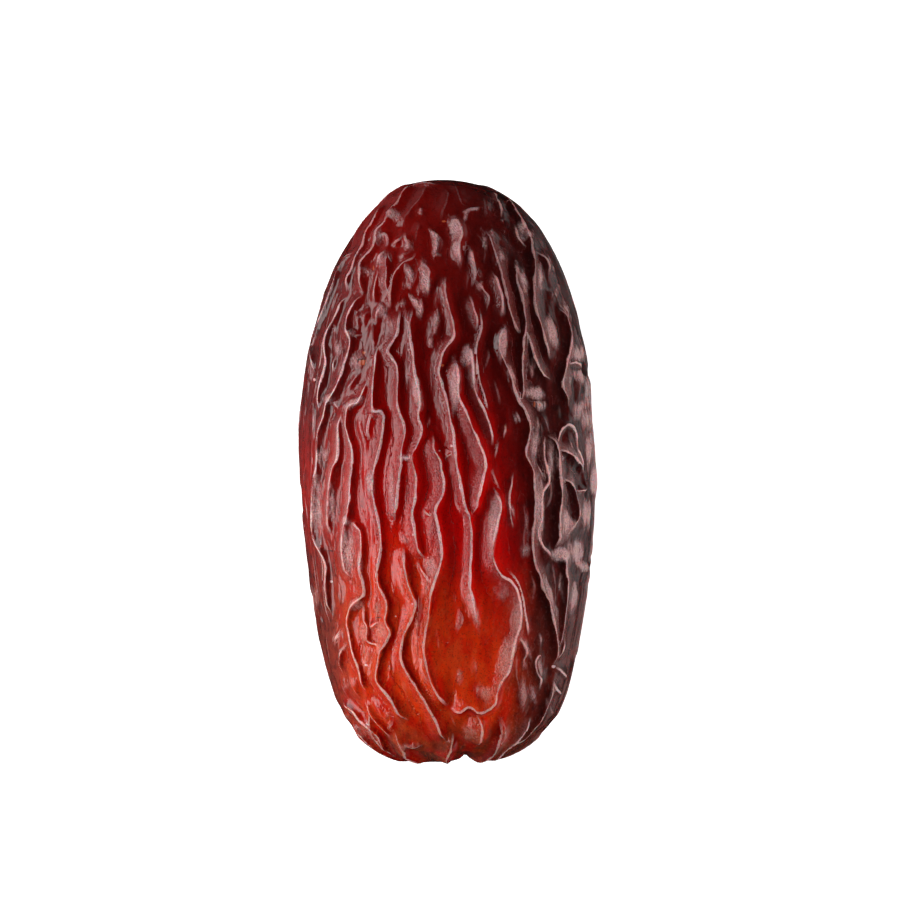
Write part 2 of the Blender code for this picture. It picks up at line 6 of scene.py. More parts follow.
import bmesh
import bpy
import numpy as np
from bpy.props import FloatProperty, FloatVectorProperty, IntProperty, PointerProperty
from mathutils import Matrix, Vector


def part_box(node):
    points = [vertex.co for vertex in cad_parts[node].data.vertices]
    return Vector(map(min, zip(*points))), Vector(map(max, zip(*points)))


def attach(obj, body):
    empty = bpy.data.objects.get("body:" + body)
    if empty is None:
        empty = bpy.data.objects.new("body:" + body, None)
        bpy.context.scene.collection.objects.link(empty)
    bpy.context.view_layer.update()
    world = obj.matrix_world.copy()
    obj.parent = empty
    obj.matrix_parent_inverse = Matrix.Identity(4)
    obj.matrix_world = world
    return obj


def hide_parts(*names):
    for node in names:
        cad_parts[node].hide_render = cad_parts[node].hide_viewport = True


bl_info = {
    "name": "Medjool date",
    "version": (1, 0, 0),
    "blender": (4, 5, 0),
    "location": "3D View > Sidebar > Date",
    "description": "Builds a medjool date's wrinkled skin and the studio that it is seen in",
    "category": "Add Mesh",
}

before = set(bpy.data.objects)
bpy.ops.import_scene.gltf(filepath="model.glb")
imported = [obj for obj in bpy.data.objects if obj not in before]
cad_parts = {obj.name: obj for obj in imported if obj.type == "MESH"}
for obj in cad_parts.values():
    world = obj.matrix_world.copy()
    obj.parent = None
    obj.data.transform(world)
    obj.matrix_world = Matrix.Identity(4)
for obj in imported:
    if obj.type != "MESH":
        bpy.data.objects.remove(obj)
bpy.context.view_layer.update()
CAD_LOW, CAD_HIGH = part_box("medjool_date")

MM = 0.001

# The smooth body under the ridges, in millimetres
HALF_LENGTH = 24.25
HALF_WIDTH = 12.12
HALF_HEIGHT = 10.95
AXIS_HEIGHT = 10.8
SECTION_POWER = 2.15
TIP_POWER = 2.2
BLUNT_TAPER = 0.265
BLUNT_TAPER_POWER = 1.5
BLUNT_POWER = 8.0
BLUNT_CORNER = 2.6
BOW = ((-24.3, 0.05), (-21.0, 0.3), (-14.0, 0.12), (-8.0, 0.28), (4.0, -0.12),
       (11.0, 0.0), (20.0, 0.15), (22.0, 0.15), (24.3, -0.4))

# The eye above the fruit that the ridge lines are drawn for, and how far over the smooth body
# the tops of the ridges lie
EYE = (0.17, 1.75, 340.0)
TOPS = 0.45

# The cube that the skin's grid starts as, stations along the body, steps between two points of
# a drawn line, rounds of finding the point that the eye sees, and how near to the body's edges
# that point may come
CUBE_SIDE = 2.0
STATIONS = 4001
STEPS_PER_SPAN = 5
SIGHT_ROUNDS = 8
END_MARGIN = 0.002
WIDEST_SIGHT = 0.992

# Ridges: how they round off, blend, fade out at their ends and lie flatter round the outline
CREST_ROUND = 0.06
BLEND_POWER = 3.0
REACH = 3.6
PULL = 0.1
PULL_REACH = 0.5
END_FADE = 1.1
END_HEIGHT = 0.25
RIM_HEIGHT = 0.45
RIM_FACING = 0.5

# Shallow lengthwise creases over the whole skin: waves round the fruit, their turn along it
# in radians a millimetre, and their height
GRAIN_SEED = 5
GRAIN_WAVES = 48
CREASES = ((18, 48), 0.8, 0.03)
GRAIN = ((60, 120), 1.4, 0.008)
GRAIN_SPREAD = math.sqrt(GRAIN_WAVES / 2)

# Skin that would lie lower than this is pressed flat
PRESSED = 0.03

# The wandering ridges of the flanks and the underside: their angles round the body from the
# top, where they may start and end along it, and the lengths of their pieces and gaps
UNDER_SEED = 11
UNDER_LINES = 22
UNDER_FROM = 80.0
UNDER_TO = 280.0
UNDER_ENDS = (22.8, -22.8)
UNDER_START = 3.0
UNDER_PIECE = (8.0, 19.0)
UNDER_GAP = (-1.5, 1.2)
UNDER_WANDER = 0.55
UNDER_DRIFT = 0.6
UNDER_STEP = 2.0
UNDER_WAVES = ((2.9, 1.0), (1.6, 0.6))

# The fine lines down the left outline, with their angles from the top
RIM_LINES = 4
RIM_ANGLES = (-60.0, -93.0)
RIM_ENDS = (17.0, -19.0)
RIM_GAP = (0.5, 3.0)
RIM_WANDER = 0.25
RIM_STYLE = (0.24, 0.24, 0.2, 0.45)

# The puckers round both ends: their shares of the width where they start and end, how much
# these vary, and the angles below the tip's drawn ridges that its puckers keep to
END_LINES = 15
END_POINTS = 5
END_TURN = 0.09
TIP_SHARES = (0.62, 0.14)
BLUNT_SHARES = (0.66, 0.24)
SHARE_RANGES = (0.1, 0.15)
END_JITTER = 0.3
TIP_ANGLES = (70.0, 290.0)

# A ridge's height, how far it spreads to its left and right, seen top to bottom, and how
# pale its crest is, which also sets its painted highlight, sheen, glow and shade
THIN = (0.38, 0.32, 0.30, 0.8)
LEFT_HIGH = (0.65, 0.65, 0.3, 1.0)
LEFT_BANK = (1.0, 1.0, 0.4, 1.0)
LEFT = (0.52, 0.80, 0.28, 1.0)
LEFT_WIDE = (0.58, 1.15, 0.30, 1.0)
RIGHT = (0.52, 0.28, 0.80, 0.8)
RIGHT_WIDE = (0.56, 0.30, 1.15, 0.8)
SOFT = (0.26, 0.55, 0.55, 0.15)
FAINT = (0.2, 0.3, 0.3, 0.4)

TIP_RIDGES = [
    (THIN, (-3.2, 23.8), (-2.2, 23.9), (-1.1, 23.9), (-0.6, 24.0)),
    (SOFT, (-1.8, 23.8), (-2.1, 22.8), (-2.9, 21.9), (-3.5, 21.0), (-3.55, 20.3)),
    (SOFT, (-0.1, 23.6), (0.2, 23.0), (0.0, 22.3), (-0.35, 21.5), (-0.45, 20.9)),
    (SOFT, (0.75, 24.0), (1.1, 22.9), (1.4, 22.3), (2.0, 22.2)),
    (THIN, (4.0, 23.3), (4.5, 22.1), (4.8, 21.0)),
    (SOFT, (2.8, 21.9), (2.0, 21.6), (1.5, 21.2)),
    (LEFT_HIGH, (0.3, 21.0), (0.8, 20.8), (1.15, 20.2), (1.3, 19.6), (1.1, 18.9), (1.05, 18.0),
     (1.35, 17.0)),
    (SOFT, (-1.3, 20.0), (-0.5, 19.4), (-0.35, 18.9), (-0.55, 18.2)),
    (THIN, (-3.6, 20.0), (-3.5, 19.4), (-3.1, 18.6)),
    (THIN, (-4.8, 18.95), (-4.1, 19.2), (-3.8, 19.7)),
    (THIN, (1.9, 18.9), (2.1, 17.9), (2.35, 17.0), (2.4, 16.0), (2.15, 15.3)),
    (SOFT, (2.5, 20.0), (3.1, 19.1), (3.35, 18.3), (3.2, 17.2)),
    (LEFT, (-3.0, 23.8), (-3.5, 23.1), (-4.05, 22.1), (-4.7, 21.2), (-5.1, 20.5),
     (-5.8, 19.9), (-5.9, 19.2), (-6.1, 18.5), (-6.7, 17.8), (-7.15, 17.2), (-7.2, 16.0),
     (-7.1, 14.8)),
    (LEFT, (-5.3, 22.2), (-5.7, 21.4), (-6.2, 20.5), (-6.7, 19.7), (-7.0, 18.7),
     (-7.6, 17.6), (-7.85, 16.8), (-8.3, 16.0), (-8.5, 14.9)),
    (RIGHT, (4.9, 22.9), (5.8, 21.4), (6.5, 20.1), (7.1, 18.5), (7.27, 17.0), (7.27, 15.0),
     (7.5, 13.2), (8.0, 11.4), (8.4, 10.2), (8.85, 9.2)),
    (RIGHT, (7.4, 18.4), (8.0, 17.8), (8.5, 17.1), (8.7, 16.2)),
]

LEFT_RIDGES = [
    (LEFT, (-7.1, 14.8), (-8.1, 13.2), (-8.35, 11.8), (-8.0, 11.0), (-8.1, 10.0),
     (-8.6, 8.6), (-9.0, 7.4), (-9.5, 6.3), (-10.0, 5.6), (-10.3, 4.4), (-10.75, 2.9),
     (-10.8, 0.4), (-11.1, -1.3), (-11.2, -4.5), (-11.0, -5.7), (-10.5, -6.7),
     (-10.15, -7.9), (-10.1, -9.2), (-10.0, -10.5), (-9.8, -12.0)),
    (LEFT, (-8.4, 14.5), (-8.8, 14.1), (-9.1, 13.2), (-9.5, 12.3), (-9.9, 11.6),
     (-10.25, 10.6), (-10.1, 9.4), (-10.2, 8.5), (-10.6, 7.0), (-10.75, 5.9), (-10.9, 4.9)),
    (LEFT, (-7.9, 18.2), (-8.6, 17.6), (-9.1, 16.7), (-9.45, 15.6), (-9.8, 14.7),
     (-10.2, 13.6), (-10.6, 12.7), (-10.9, 12.0), (-11.2, 11.3), (-11.4, 10.4),
     (-11.3, 9.4), (-11.15, 8.2)),
    (SOFT, (-10.7, 8.4), (-10.85, 7.4), (-11.1, 6.4), (-11.5, 5.4), (-11.8, 4.5),
     (-11.9, 3.6)),
    (SOFT, (-11.3, 4.2), (-11.35, 2.5), (-11.4, 0.5), (-11.45, -1.5), (-11.4, -3.2)),
    (SOFT, (-11.3, -6.5), (-11.05, -7.9), (-10.85, -9.3), (-10.65, -10.6), (-10.55, -12.0)),
    (LEFT, (-8.8, 4.9), (-9.0, 3.9), (-9.05, 1.4), (-9.45, 0.1), (-9.7, -1.2),
     (-9.85, -3.6), (-9.85, -5.4)),
    (LEFT, (-6.65, 7.7), (-6.9, 6.7), (-7.4, 5.7), (-7.9, 5.5), (-8.25, 5.1), (-8.4, 4.0),
     (-8.2, 3.0), (-7.9, 1.8), (-7.9, 0.3), (-8.05, -1.6), (-8.25, -3.9), (-8.5, -4.5),
     (-8.7, -6.0), (-8.6, -7.4), (-8.4, -8.3), (-7.9, -8.9)),
    (LEFT, (-8.2, -4.1), (-7.6, -4.5), (-7.15, -5.1), (-7.05, -6.9), (-7.2, -8.2),
     (-6.9, -9.7), (-7.0, -10.4), (-7.9, -11.3), (-8.3, -12.5), (-8.1, -13.8),
     (-7.7, -15.3), (-7.2, -16.7), (-7.0, -17.8), (-6.8, -18.4)),
    (THIN, (-7.15, -10.9), (-7.0, -11.6), (-6.95, -12.4), (-6.65, -13.0), (-6.65, -14.1),
     (-5.9, -14.4), (-5.5, -14.9)),
    (LEFT, (-5.5, 10.4), (-5.85, 10.1), (-5.95, 8.5), (-6.15, 6.6), (-6.05, 5.1),
     (-5.5, 5.0), (-5.25, 4.4), (-5.35, 3.1), (-5.7, 1.5), (-6.05, 0.1), (-6.15, -1.3),
     (-5.95, -2.8), (-5.55, -4.9), (-5.5, -6.4), (-5.75, -8.2), (-5.6, -9.4),
     (-5.0, -10.8), (-4.95, -11.7), (-5.08, -12.4), (-4.65, -13.3), (-4.9, -14.0),
     (-5.45, -15.0), (-5.75, -16.3), (-5.8, -17.3), (-5.3, -18.1), (-4.45, -19.2),
     (-4.0, -20.0), (-3.2, -20.8)),
    (THIN, (-5.9, 16.9), (-5.8, 16.3), (-6.1, 14.8), (-6.2, 13.9)),
    (LEFT, (-5.15, 18.4), (-5.0, 17.6), (-5.0, 15.6), (-5.0, 14.6)),
    (THIN, (-2.6, 18.3), (-2.9, 17.7), (-3.7, 17.2), (-4.4, 16.3), (-4.7, 15.0),
     (-4.8, 13.5)),
    (SOFT, (-7.2, 8.6), (-7.7, 7.8), (-8.3, 7.0), (-8.9, 6.2)),
    (SOFT, (-8.6, -12.9), (-9.0, -13.8), (-9.1, -14.8), (-8.9, -15.8)),
]

MIDDLE_RIDGES = [
    (LEFT, (-3.95, 13.5), (-4.0, 12.0), (-4.2, 11.2), (-4.9, 10.1), (-4.6, 9.5),
     (-4.1, 8.7), (-4.05, 7.0), (-4.05, 5.4), (-3.6, 4.1), (-3.45, 3.0), (-3.7, 1.8),
     (-3.8, 0.6), (-4.0, -1.0), (-4.2, -3.0), (-4.4, -4.3)),
    (LEFT, (-2.9, 13.6), (-3.0, 12.0), (-3.05, 11.0), (-2.75, 9.6), (-2.7, 8.4),
     (-2.4, 7.2), (-2.15, 5.8), (-2.3, 4.6), (-2.05, 3.5), (-2.35, 2.3), (-2.8, 1.3),
     (-2.6, 0.1), (-2.5, -1.0), (-2.6, -2.3), (-2.85, -3.8), (-2.65, -4.9),
     (-2.35, -6.4), (-1.8, -7.4)),
    (THIN, (-3.75, 1.25), (-3.3, 1.15), (-2.8, 1.3)),
    (LEFT, (-3.65, -6.2), (-3.45, -8.0), (-3.1, -9.5), (-2.6, -10.9), (-2.8, -12.1),
     (-3.5, -13.6), (-3.8, -15.1), (-3.6, -16.1), (-2.9, -17.3), (-1.9, -18.9),
     (-1.0, -20.5), (-0.5, -21.6), (0.0, -22.4)),
    (LEFT_HIGH, (-0.1, 16.3), (-0.1, 15.2), (0.1, 14.2), (0.4, 13.2), (0.65, 12.1),
     (0.65, 11.2), (0.1, 10.4), (-0.35, 9.4), (-0.6, 8.3), (-0.3, 7.2), (0.0, 6.1),
     (0.3, 4.9), (0.6, 3.1), (0.75, 1.8), (0.95, 0.4), (1.3, -1.6), (1.65, -3.0),
     (2.05, -4.0), (2.15, -6.3), (1.95, -9.2), (2.2, -10.6), (2.7, -12.8)),
    (LEFT_WIDE, (-1.1, 3.1), (-1.0, 1.9), (-0.5, 1.0), (-0.4, 0.2), (-0.2, -1.0),
     (-0.3, -2.0), (-0.95, -3.2), (-0.7, -4.6), (-0.4, -6.4), (-0.45, -7.6),
     (-0.9, -8.9), (-1.25, -10.1), (-1.45, -12.1), (-1.85, -14.2), (-1.7, -15.9),
     (-1.1, -17.8), (-0.4, -19.0), (0.15, -19.6)),
    (THIN, (-0.3, 1.0), (0.1, 1.4), (0.7, 1.7)),
    (LEFT_BANK, (0.6, 9.4), (1.0, 8.0), (1.05, 6.2), (1.6, 5.0), (2.3, 3.4), (2.9, 1.9),
     (3.25, 0.5), (3.0, -0.6), (2.7, -2.0), (2.5, -3.0), (2.05, -3.8)),
    (LEFT_HIGH, (1.6, 10.35), (2.1, 10.1), (2.2, 8.6), (2.35, 7.2), (2.7, 6.0), (3.3, 4.8),
     (3.8, 3.3), (4.0, 2.1)),
    (THIN, (2.9, 13.4), (3.0, 12.2), (2.85, 11.3), (2.55, 10.2), (2.6, 8.8), (2.95, 7.3),
     (3.35, 6.0), (3.55, 4.9)),
    (LEFT_HIGH, (2.0, 14.8), (2.3, 13.6), (2.6, 12.6), (2.55, 11.5)),
    (THIN, (2.4, 16.0), (3.1, 15.2), (3.6, 14.5), (3.5, 13.3)),
    (LEFT, (-2.3, 17.6), (-1.7, 17.0), (-1.4, 16.5), (-1.5, 15.4), (-1.55, 14.4)),
    (SOFT, (-2.65, 17.2), (-2.5, 16.2), (-2.95, 15.4), (-3.3, 14.9)),
    (SOFT, (-2.8, 14.7), (-2.1, 14.1), (-2.05, 13.6), (-2.15, 13.0)),
    (SOFT, (-1.4, 13.4), (-0.8, 12.8), (-0.8, 12.0), (-1.1, 11.2), (-1.4, 10.3)),
    (LEFT_BANK, (4.0, -1.2), (4.45, -2.9), (4.15, -4.3), (3.85, -5.8), (3.9, -7.2),
     (4.5, -8.5), (5.3, -9.1), (5.8, -10.0), (6.0, -11.5), (5.9, -12.6), (5.5, -14.0),
     (5.25, -15.4), (5.0, -16.5), (4.4, -17.4), (4.1, -18.4), (3.95, -19.1),
     (3.3, -19.65), (2.6, -19.85), (1.8, -19.4), (1.0, -19.85), (0.2, -19.7)),
    (THIN, (5.3, -8.2), (5.9, -9.1), (6.4, -10.4), (6.65, -12.0), (7.1, -13.8)),
    (THIN, (5.8, -0.1), (5.4, -1.8), (5.4, -3.1), (5.8, -4.8)),
]

RIGHT_RIDGES = [
    (RIGHT, (5.0, 12.3), (4.45, 11.2), (4.4, 10.0), (4.9, 8.8), (5.5, 7.3), (6.0, 6.0),
     (6.7, 4.8), (6.97, 3.7), (6.8, 2.4), (6.6, 1.4), (7.0, 0.4), (7.3, -0.6),
     (7.3, -3.4), (7.15, -5.8), (7.3, -7.3), (7.8, -8.8), (8.2, -10.2), (8.75, -11.7),
     (9.0, -13.0), (9.2, -15.0), (9.1, -16.2)),
    (RIGHT, (5.75, 17.4), (5.75, 15.9), (6.2, 14.7), (6.4, 13.3), (6.55, 12.2),
     (6.45, 10.8), (6.3, 8.8), (6.35, 7.2), (6.3, 5.6)),
    (RIGHT, (6.6, 12.0), (7.0, 10.6), (7.4, 9.2), (8.1, 8.0), (8.9, 7.6)),
    (RIGHT, (3.3, 20.1), (3.6, 19.1), (4.1, 17.7), (4.6, 16.2), (5.0, 14.6), (5.2, 13.4),
     (5.8, 12.0), (6.4, 11.4)),
    (LEFT_HIGH, (3.9, 16.8), (4.3, 15.5), (4.65, 14.2), (4.65, 12.8)),
    (THIN, (8.55, 3.0), (8.3, 2.2), (8.4, 0.7), (8.65, -0.8), (8.1, -1.9), (8.0, -3.9),
     (7.7, -5.1), (8.0, -6.0), (8.5, -6.6), (9.1, -7.2)),
    (RIGHT, (8.55, 3.0), (9.0, 2.6), (9.3, 1.6), (9.4, 0.5), (9.6, -1.0), (9.55, -2.5),
     (9.4, -3.8), (9.45, -5.6), (9.2, -6.5)),
    (RIGHT, (9.3, 1.75), (10.0, 1.6), (10.6, 1.2), (11.35, 0.5), (11.7, -0.2)),
    (RIGHT, (9.6, -0.8), (10.0, -0.75), (10.6, -1.4), (10.95, -2.6), (11.1, -3.6),
     (10.55, -4.5), (10.3, -5.3)),
    (RIGHT, (9.3, -6.9), (9.9, -7.4), (10.0, -8.4), (10.1, -9.5), (9.9, -11.2),
     (9.7, -13.0), (9.3, -15.0)),
    (SOFT, (9.1, -7.4), (9.3, -9.0), (9.3, -10.4), (9.0, -11.5)),
    (RIGHT_WIDE, (9.4, 13.8), (9.95, 12.6), (10.3, 11.4), (10.2, 10.0), (9.9, 8.8),
     (9.65, 7.4), (9.9, 6.3), (10.4, 5.3)),
    (THIN, (10.0, 8.9), (10.6, 9.1), (11.2, 9.0), (11.6, 8.5)),
    (THIN, (9.3, 2.1), (9.6, 3.2), (10.1, 3.85), (10.7, 3.7), (11.1, 3.0), (11.2, 1.9),
     (11.5, 0.8), (11.7, -0.2)),
    (SOFT, (10.9, 12.6), (11.1, 11.3), (11.5, 10.0)),
    (SOFT, (11.3, -3.8), (11.6, -4.5), (11.9, -5.2)),
    (THIN, (9.2, -15.6), (9.6, -15.3), (9.9, -14.5), (10.0, -13.6)),
]

BLUNT_RIDGES = [
    (RIGHT, (9.05, -17.3), (8.6, -18.6), (7.9, -20.4), (7.2, -21.3), (6.3, -22.2),
     (5.25, -22.6)),
    (THIN, (9.05, -17.2), (9.15, -18.0), (9.85, -18.55)),
    (THIN, (9.2, -16.2), (9.8, -16.7), (10.3, -17.2)),
    (SOFT, (6.0, -15.0), (5.95, -16.6), (6.2, -17.8), (6.4, -18.9), (6.15, -19.9)),
    (THIN, (6.05, -13.6), (6.5, -14.4), (6.8, -15.1), (6.4, -16.2)),
    (THIN, (8.2, -15.8), (7.8, -15.4), (7.5, -15.9), (7.7, -16.7), (8.0, -17.4),
     (8.05, -18.3)),
    (THIN, (-7.0, -19.0), (-6.2, -20.4), (-5.2, -21.5), (-4.8, -22.3)),
    (LEFT, (-8.9, -19.1), (-8.0, -19.7), (-7.1, -20.7), (-5.8, -21.7), (-5.0, -23.3)),
    (THIN, (-3.9, -22.4), (-3.0, -22.8), (-2.0, -22.7)),
    (LEFT_BANK, (2.55, -19.9), (2.9, -20.9), (2.8, -22.1), (2.5, -22.8)),
    (SOFT, (4.3, -20.2), (4.9, -21.2), (4.9, -22.1), (4.1, -22.9)),
]

# Broad swells and hollows of the upper side: place, radius and height
SWELLS = [
    (3.9, -12.5, 1.6, 0.30),
    (-4.2, 21.3, 0.9, 0.20),
    (-7.2, 9.1, 0.8, 0.15),
    (10.9, 7.0, 1.1, 0.25),
    (8.6, 11.8, 0.8, 0.15),
    (5.6, 19.2, 1.3, -0.15),
    (8.9, -8.6, 0.9, -0.15),
]

# Pale dry patches of the upper side, partly painted sheen: place, half width, half length, how far
# the top leans to the right in degrees, and strength, which is below zero where the skin is clear
# again
PATCH_REACH = 2.0
PATCH_HEIGHT = 0.12
PATCHES = [
    (-4.2, 21.1, 0.55, 0.45, 0, 1.0), (-4.4, 22.7, 0.35, 0.35, 0, 0.6),
    (-5.4, 19.4, 0.3, 0.7, 15, 0.7), (-3.1, 18.6, 0.4, 0.55, 20, 0.9),
    (-2.1, 21.5, 0.22, 0.35, 0, 0.9), (-1.0, 19.6, 0.24, 0.75, -35, 1.0),
    (-0.85, 18.8, 0.28, 0.8, 5, 1.0),
    (-1.75, 16.0, 0.4, 1.4, -8, 0.9), (-3.0, 16.4, 0.3, 0.8, -25, 0.9),
    (-3.0, 15.4, 0.3, 0.6, 0, 0.6), (-6.5, 16.6, 0.6, 0.6, 0, 0.7),
    (-5.4, 17.6, 0.5, 0.8, 15, 0.7), (-5.2, 15.7, 0.4, 1.0, 0, 0.7),
    (-2.6, 14.1, 0.22, 0.8, -35, 1.0),
    (-2.15, 13.5, 0.26, 0.7, 10, 0.9), (-3.6, 13.9, 0.45, 0.6, 0, 0.7),
    (-5.3, 13.4, 0.45, 0.6, 0, 1.0), (-4.8, 12.5, 0.45, 1.0, -20, 0.7),
    (-7.8, 11.4, 0.4, 0.4, 0, 0.7), (-7.2, 9.2, 0.7, 0.8, 0, 0.8),
    (-8.9, 10.2, 0.45, 0.6, 0, 0.7), (-9.6, 6.1, 0.45, 0.5, 0, 1.0),
    (-7.6, 5.6, 0.35, 0.9, 60, 1.0), (-11.2, 8.8, 0.45, 1.4, 0, 0.6),
    (-2.35, 6.3, 0.4, 1.4, -10, 1.0), (-5.8, 5.0, 0.6, 0.3, 0, 0.8),
    (-0.8, 18.0, 0.4, 0.2, 0, 0.8), (2.15, 21.7, 0.16, 0.6, 75, 0.9),
    (1.55, 21.1, 0.18, 0.5, 15, 0.8),
    (3.3, 21.8, 0.2, 0.8, 0, 0.6), (4.6, 20.8, 0.3, 0.25, 0, 0.7),
    (6.15, 20.2, 0.35, 0.6, -15, 0.9), (6.7, 19.6, 0.6, 0.5, 0, 0.9),
    (3.1, 19.0, 0.3, 1.2, -10, 0.8), (3.7, 19.6, 0.3, 0.6, -10, 0.7),
    (4.4, 17.8, 0.45, 0.55, 0, 0.9), (5.8, 16.9, 0.3, 0.9, 0, 0.8),
    (6.3, 15.9, 0.4, 1.2, -10, 0.9), (7.6, 15.9, 0.4, 1.5, 0, 0.8),
    (8.3, 17.6, 0.3, 0.6, -40, 0.7), (8.7, 16.9, 0.25, 0.5, -20, 0.6),
    (9.1, 15.0, 0.4, 0.8, 15, 0.7), (9.7, 13.4, 0.5, 1.2, -20, 0.8),
    (4.6, 13.5, 0.35, 1.2, 0, 0.6), (2.8, 15.3, 0.45, 0.5, 0, 0.8),
    (2.0, 17.8, 0.25, 0.6, 0, 0.9), (4.6, 10.8, 0.35, 1.5, 5, 0.9),
    (8.5, 11.6, 0.65, 1.2, -10, 0.9), (6.9, 8.6, 0.35, 1.4, 0, 0.6),
    (7.2, 6.5, 0.9, 0.5, 0, 1.1), (7.7, 5.5, 0.8, 0.4, 0, 0.8), (10.8, 9.7, 0.7, 0.8, 0, 1.0),
    (11.5, 6.8, 0.5, 2.0, 0, 0.8), (10.2, 7.2, 0.5, 1.2, 0, 0.8),
    (10.9, 5.2, 0.7, 1.0, 0, 0.9), (11.5, 4.3, 0.6, 1.2, 0, 0.8), (11.75, 1.6, 0.3, 1.9, 0, 0.8),
    (12.15, -0.7, 0.25, 1.0, 0, 1.2), (10.2, 2.2, 0.35, 0.8, -20, 0.5),
    (10.3, -0.5, 0.6, 0.35, -40, 0.6), (10.8, 7.9, 0.7, 1.0, 0, 1.0),
    (10.3, 7.2, 0.12, 0.4, 0, -0.9),
    (5.2, 8.1, 0.25, 0.7, -20, 0.9), (5.9, 4.5, 0.13, 0.5, -20, 1.0),
    (2.1, -11.2, 0.35, 1.6, -15, 0.9), (1.0, -12.3, 0.2, 0.9, 5, 0.9),
    (-0.7, -14.2, 0.25, 1.2, -5, 0.6), (4.6, -10.3, 0.8, 1.2, 0, 0.7),
    (5.5, -12.2, 0.5, 1.8, 0, 1.0), (4.8, -15.3, 0.6, 2.4, 15, 1.0),
    (3.2, -18.3, 1.1, 0.8, 20, 0.8), (1.1, -17.2, 0.45, 0.8, 0, 0.7),
    (2.3, -16.2, 0.5, 1.2, 0, 0.6), (1.9, -13.8, 0.7, 1.0, 0, 0.4),
    (6.5, -14.5, 0.3, 1.2, -15, 0.9), (6.4, -16.0, 0.25, 0.6, -10, 0.8),
    (6.25, -18.6, 0.35, 1.4, 0, 0.9), (7.7, -16.3, 0.35, 0.8, -15, 1.0),
    (7.1, -18.6, 0.35, 0.9, -20, 0.8), (7.2, -10.0, 0.35, 1.2, 0, 0.5),
    (6.5, -4.6, 0.3, 2.2, 0, 0.7), (6.4, -6.4, 0.4, 0.7, 0, 0.9),
    (5.3, -3.2, 0.3, 0.7, -25, 0.9), (3.7, -4.2, 0.4, 2.6, 5, 0.9),
    (9.35, -6.9, 0.6, 0.5, 0, 1.4), (10.6, -6.6, 0.9, 1.2, -20, 0.95),
    (11.2, -8.0, 0.7, 0.7, -30, 0.95), (9.9, -4.0, 0.5, 1.6, 0, 1.0),
    (7.6, -3.0, 0.4, 2.6, 0, 1.1), (11.5, -3.6, 0.5, 1.2, 0, 1.0),
    (10.5, -10.4, 0.4, 1.5, 5, 1.0), (8.4, -10.2, 0.35, 1.8, -20, 1.0),
    (9.3, -9.4, 0.25, 1.6, 0, 0.6), (8.5, 0.8, 0.4, 1.6, 0, 0.8), (7.2, 2.4, 0.4, 1.8, 0, 0.9),
    (11.8, -7.0, 0.25, 0.5, 0, -0.9), (10.5, -8.4, 0.4, 0.4, 0, -0.9),
    (11.4, -9.3, 0.5, 0.5, 0, -0.9), (10.3, -2.6, 0.4, 0.8, 0, -0.8),
    (10.6, 8.75, 0.4, 0.2, 0, -0.9), (11.45, 8.4, 0.25, 0.25, 0, -0.9),
    (-9.25, -13.9, 0.45, 1.0, 15, 1.0), (-8.7, -15.2, 0.3, 1.1, 25, 0.9),
    (-10.75, -10.5, 0.35, 1.6, 0, 0.8), (-5.4, -13.3, 0.8, 0.8, 0, 1.0),
    (-6.8, -13.5, 0.35, 0.9, 0, 1.0), (-5.7, -11.3, 0.5, 1.2, 0, 0.9),
    (-7.3, -11.0, 0.5, 0.5, 50, 1.0), (-6.6, -15.0, 0.5, 0.8, -20, 0.6),
    (-5.5, -14.7, 0.3, 0.5, 0, 1.0), (-8.0, -6.6, 0.5, 2.2, 0, 1.0),
    (-8.2, -4.0, 0.4, 0.5, 0, 1.0), (-6.2, -0.9, 0.35, 1.2, 0, 1.0),
    (-6.7, -3.4, 0.3, 1.4, -10, 0.5), (-4.5, -1.8, 0.4, 2.4, 0, 0.8),
    (-3.2, -1.5, 0.35, 2.2, 0, 0.5), (-3.5, -5.6, 0.6, 0.8, 0, 0.8),
    (-1.4, -7.8, 0.5, 0.9, -20, 1.0), (-1.35, -5.2, 0.35, 1.6, 0, 0.7),
    (-7.0, -7.4, 0.2, 1.0, 0, 1.0), (-2.4, -14.0, 0.35, 2.6, 0, 0.6),
    (1.9, -21.0, 0.6, 1.2, 10, 0.8), (-3.0, -22.7, 1.0, 0.3, 0, 0.8),
    (4.5, -21.3, 0.4, 1.0, 0, 0.5), (-6.5, -21.5, 0.7, 1.3, -50, 0.7),
    (-8.4, -20.4, 0.5, 0.5, 0, 0.7), (8.4, -18.6, 0.3, 1.4, 25, 0.8),
    (-3.4, 1.15, 0.7, 0.35, 0, 1.0), (-0.9, 12.3, 0.35, 1.1, 5, 0.9),
    (-1.3, 10.7, 0.3, 0.5, 0, 0.8), (0.65, 20.1, 0.5, 1.0, -10, 1.1),
    (0.8, 18.2, 0.3, 1.2, -10, 0.9), (1.75, 9.6, 0.45, 0.9, 0, 1.1),
    (2.1, 7.6, 0.3, 1.1, -10, 0.9), (0.65, 7.0, 0.4, 1.9, 0, 0.9),
    (10.7, 2.5, 0.3, 0.8, -20, -0.9), (10.9, 0.4, 0.6, 0.35, -60, -0.9),
    (-9.6, -16.2, 0.6, 2.0, 10, -0.9), (-10.3, -13.6, 0.4, 1.4, 0, -0.9),
    (-8.2, -17.9, 0.5, 1.0, 20, 0.6), (-5.0, -20.4, 0.7, 1.2, 30, 0.6),
    (-9.9, 1.4, 0.6, 1.2, 10, 0.7), (-9.3, -2.4, 0.5, 2.6, 0, 0.7), (-10.5, -3.0, 0.5, 2.6, 0, 0.8),
    (-5.4, -17.2, 0.5, 1.0, -30, 0.4), (-1.6, -9.6, 0.3, 0.8, 10, 0.9),
]

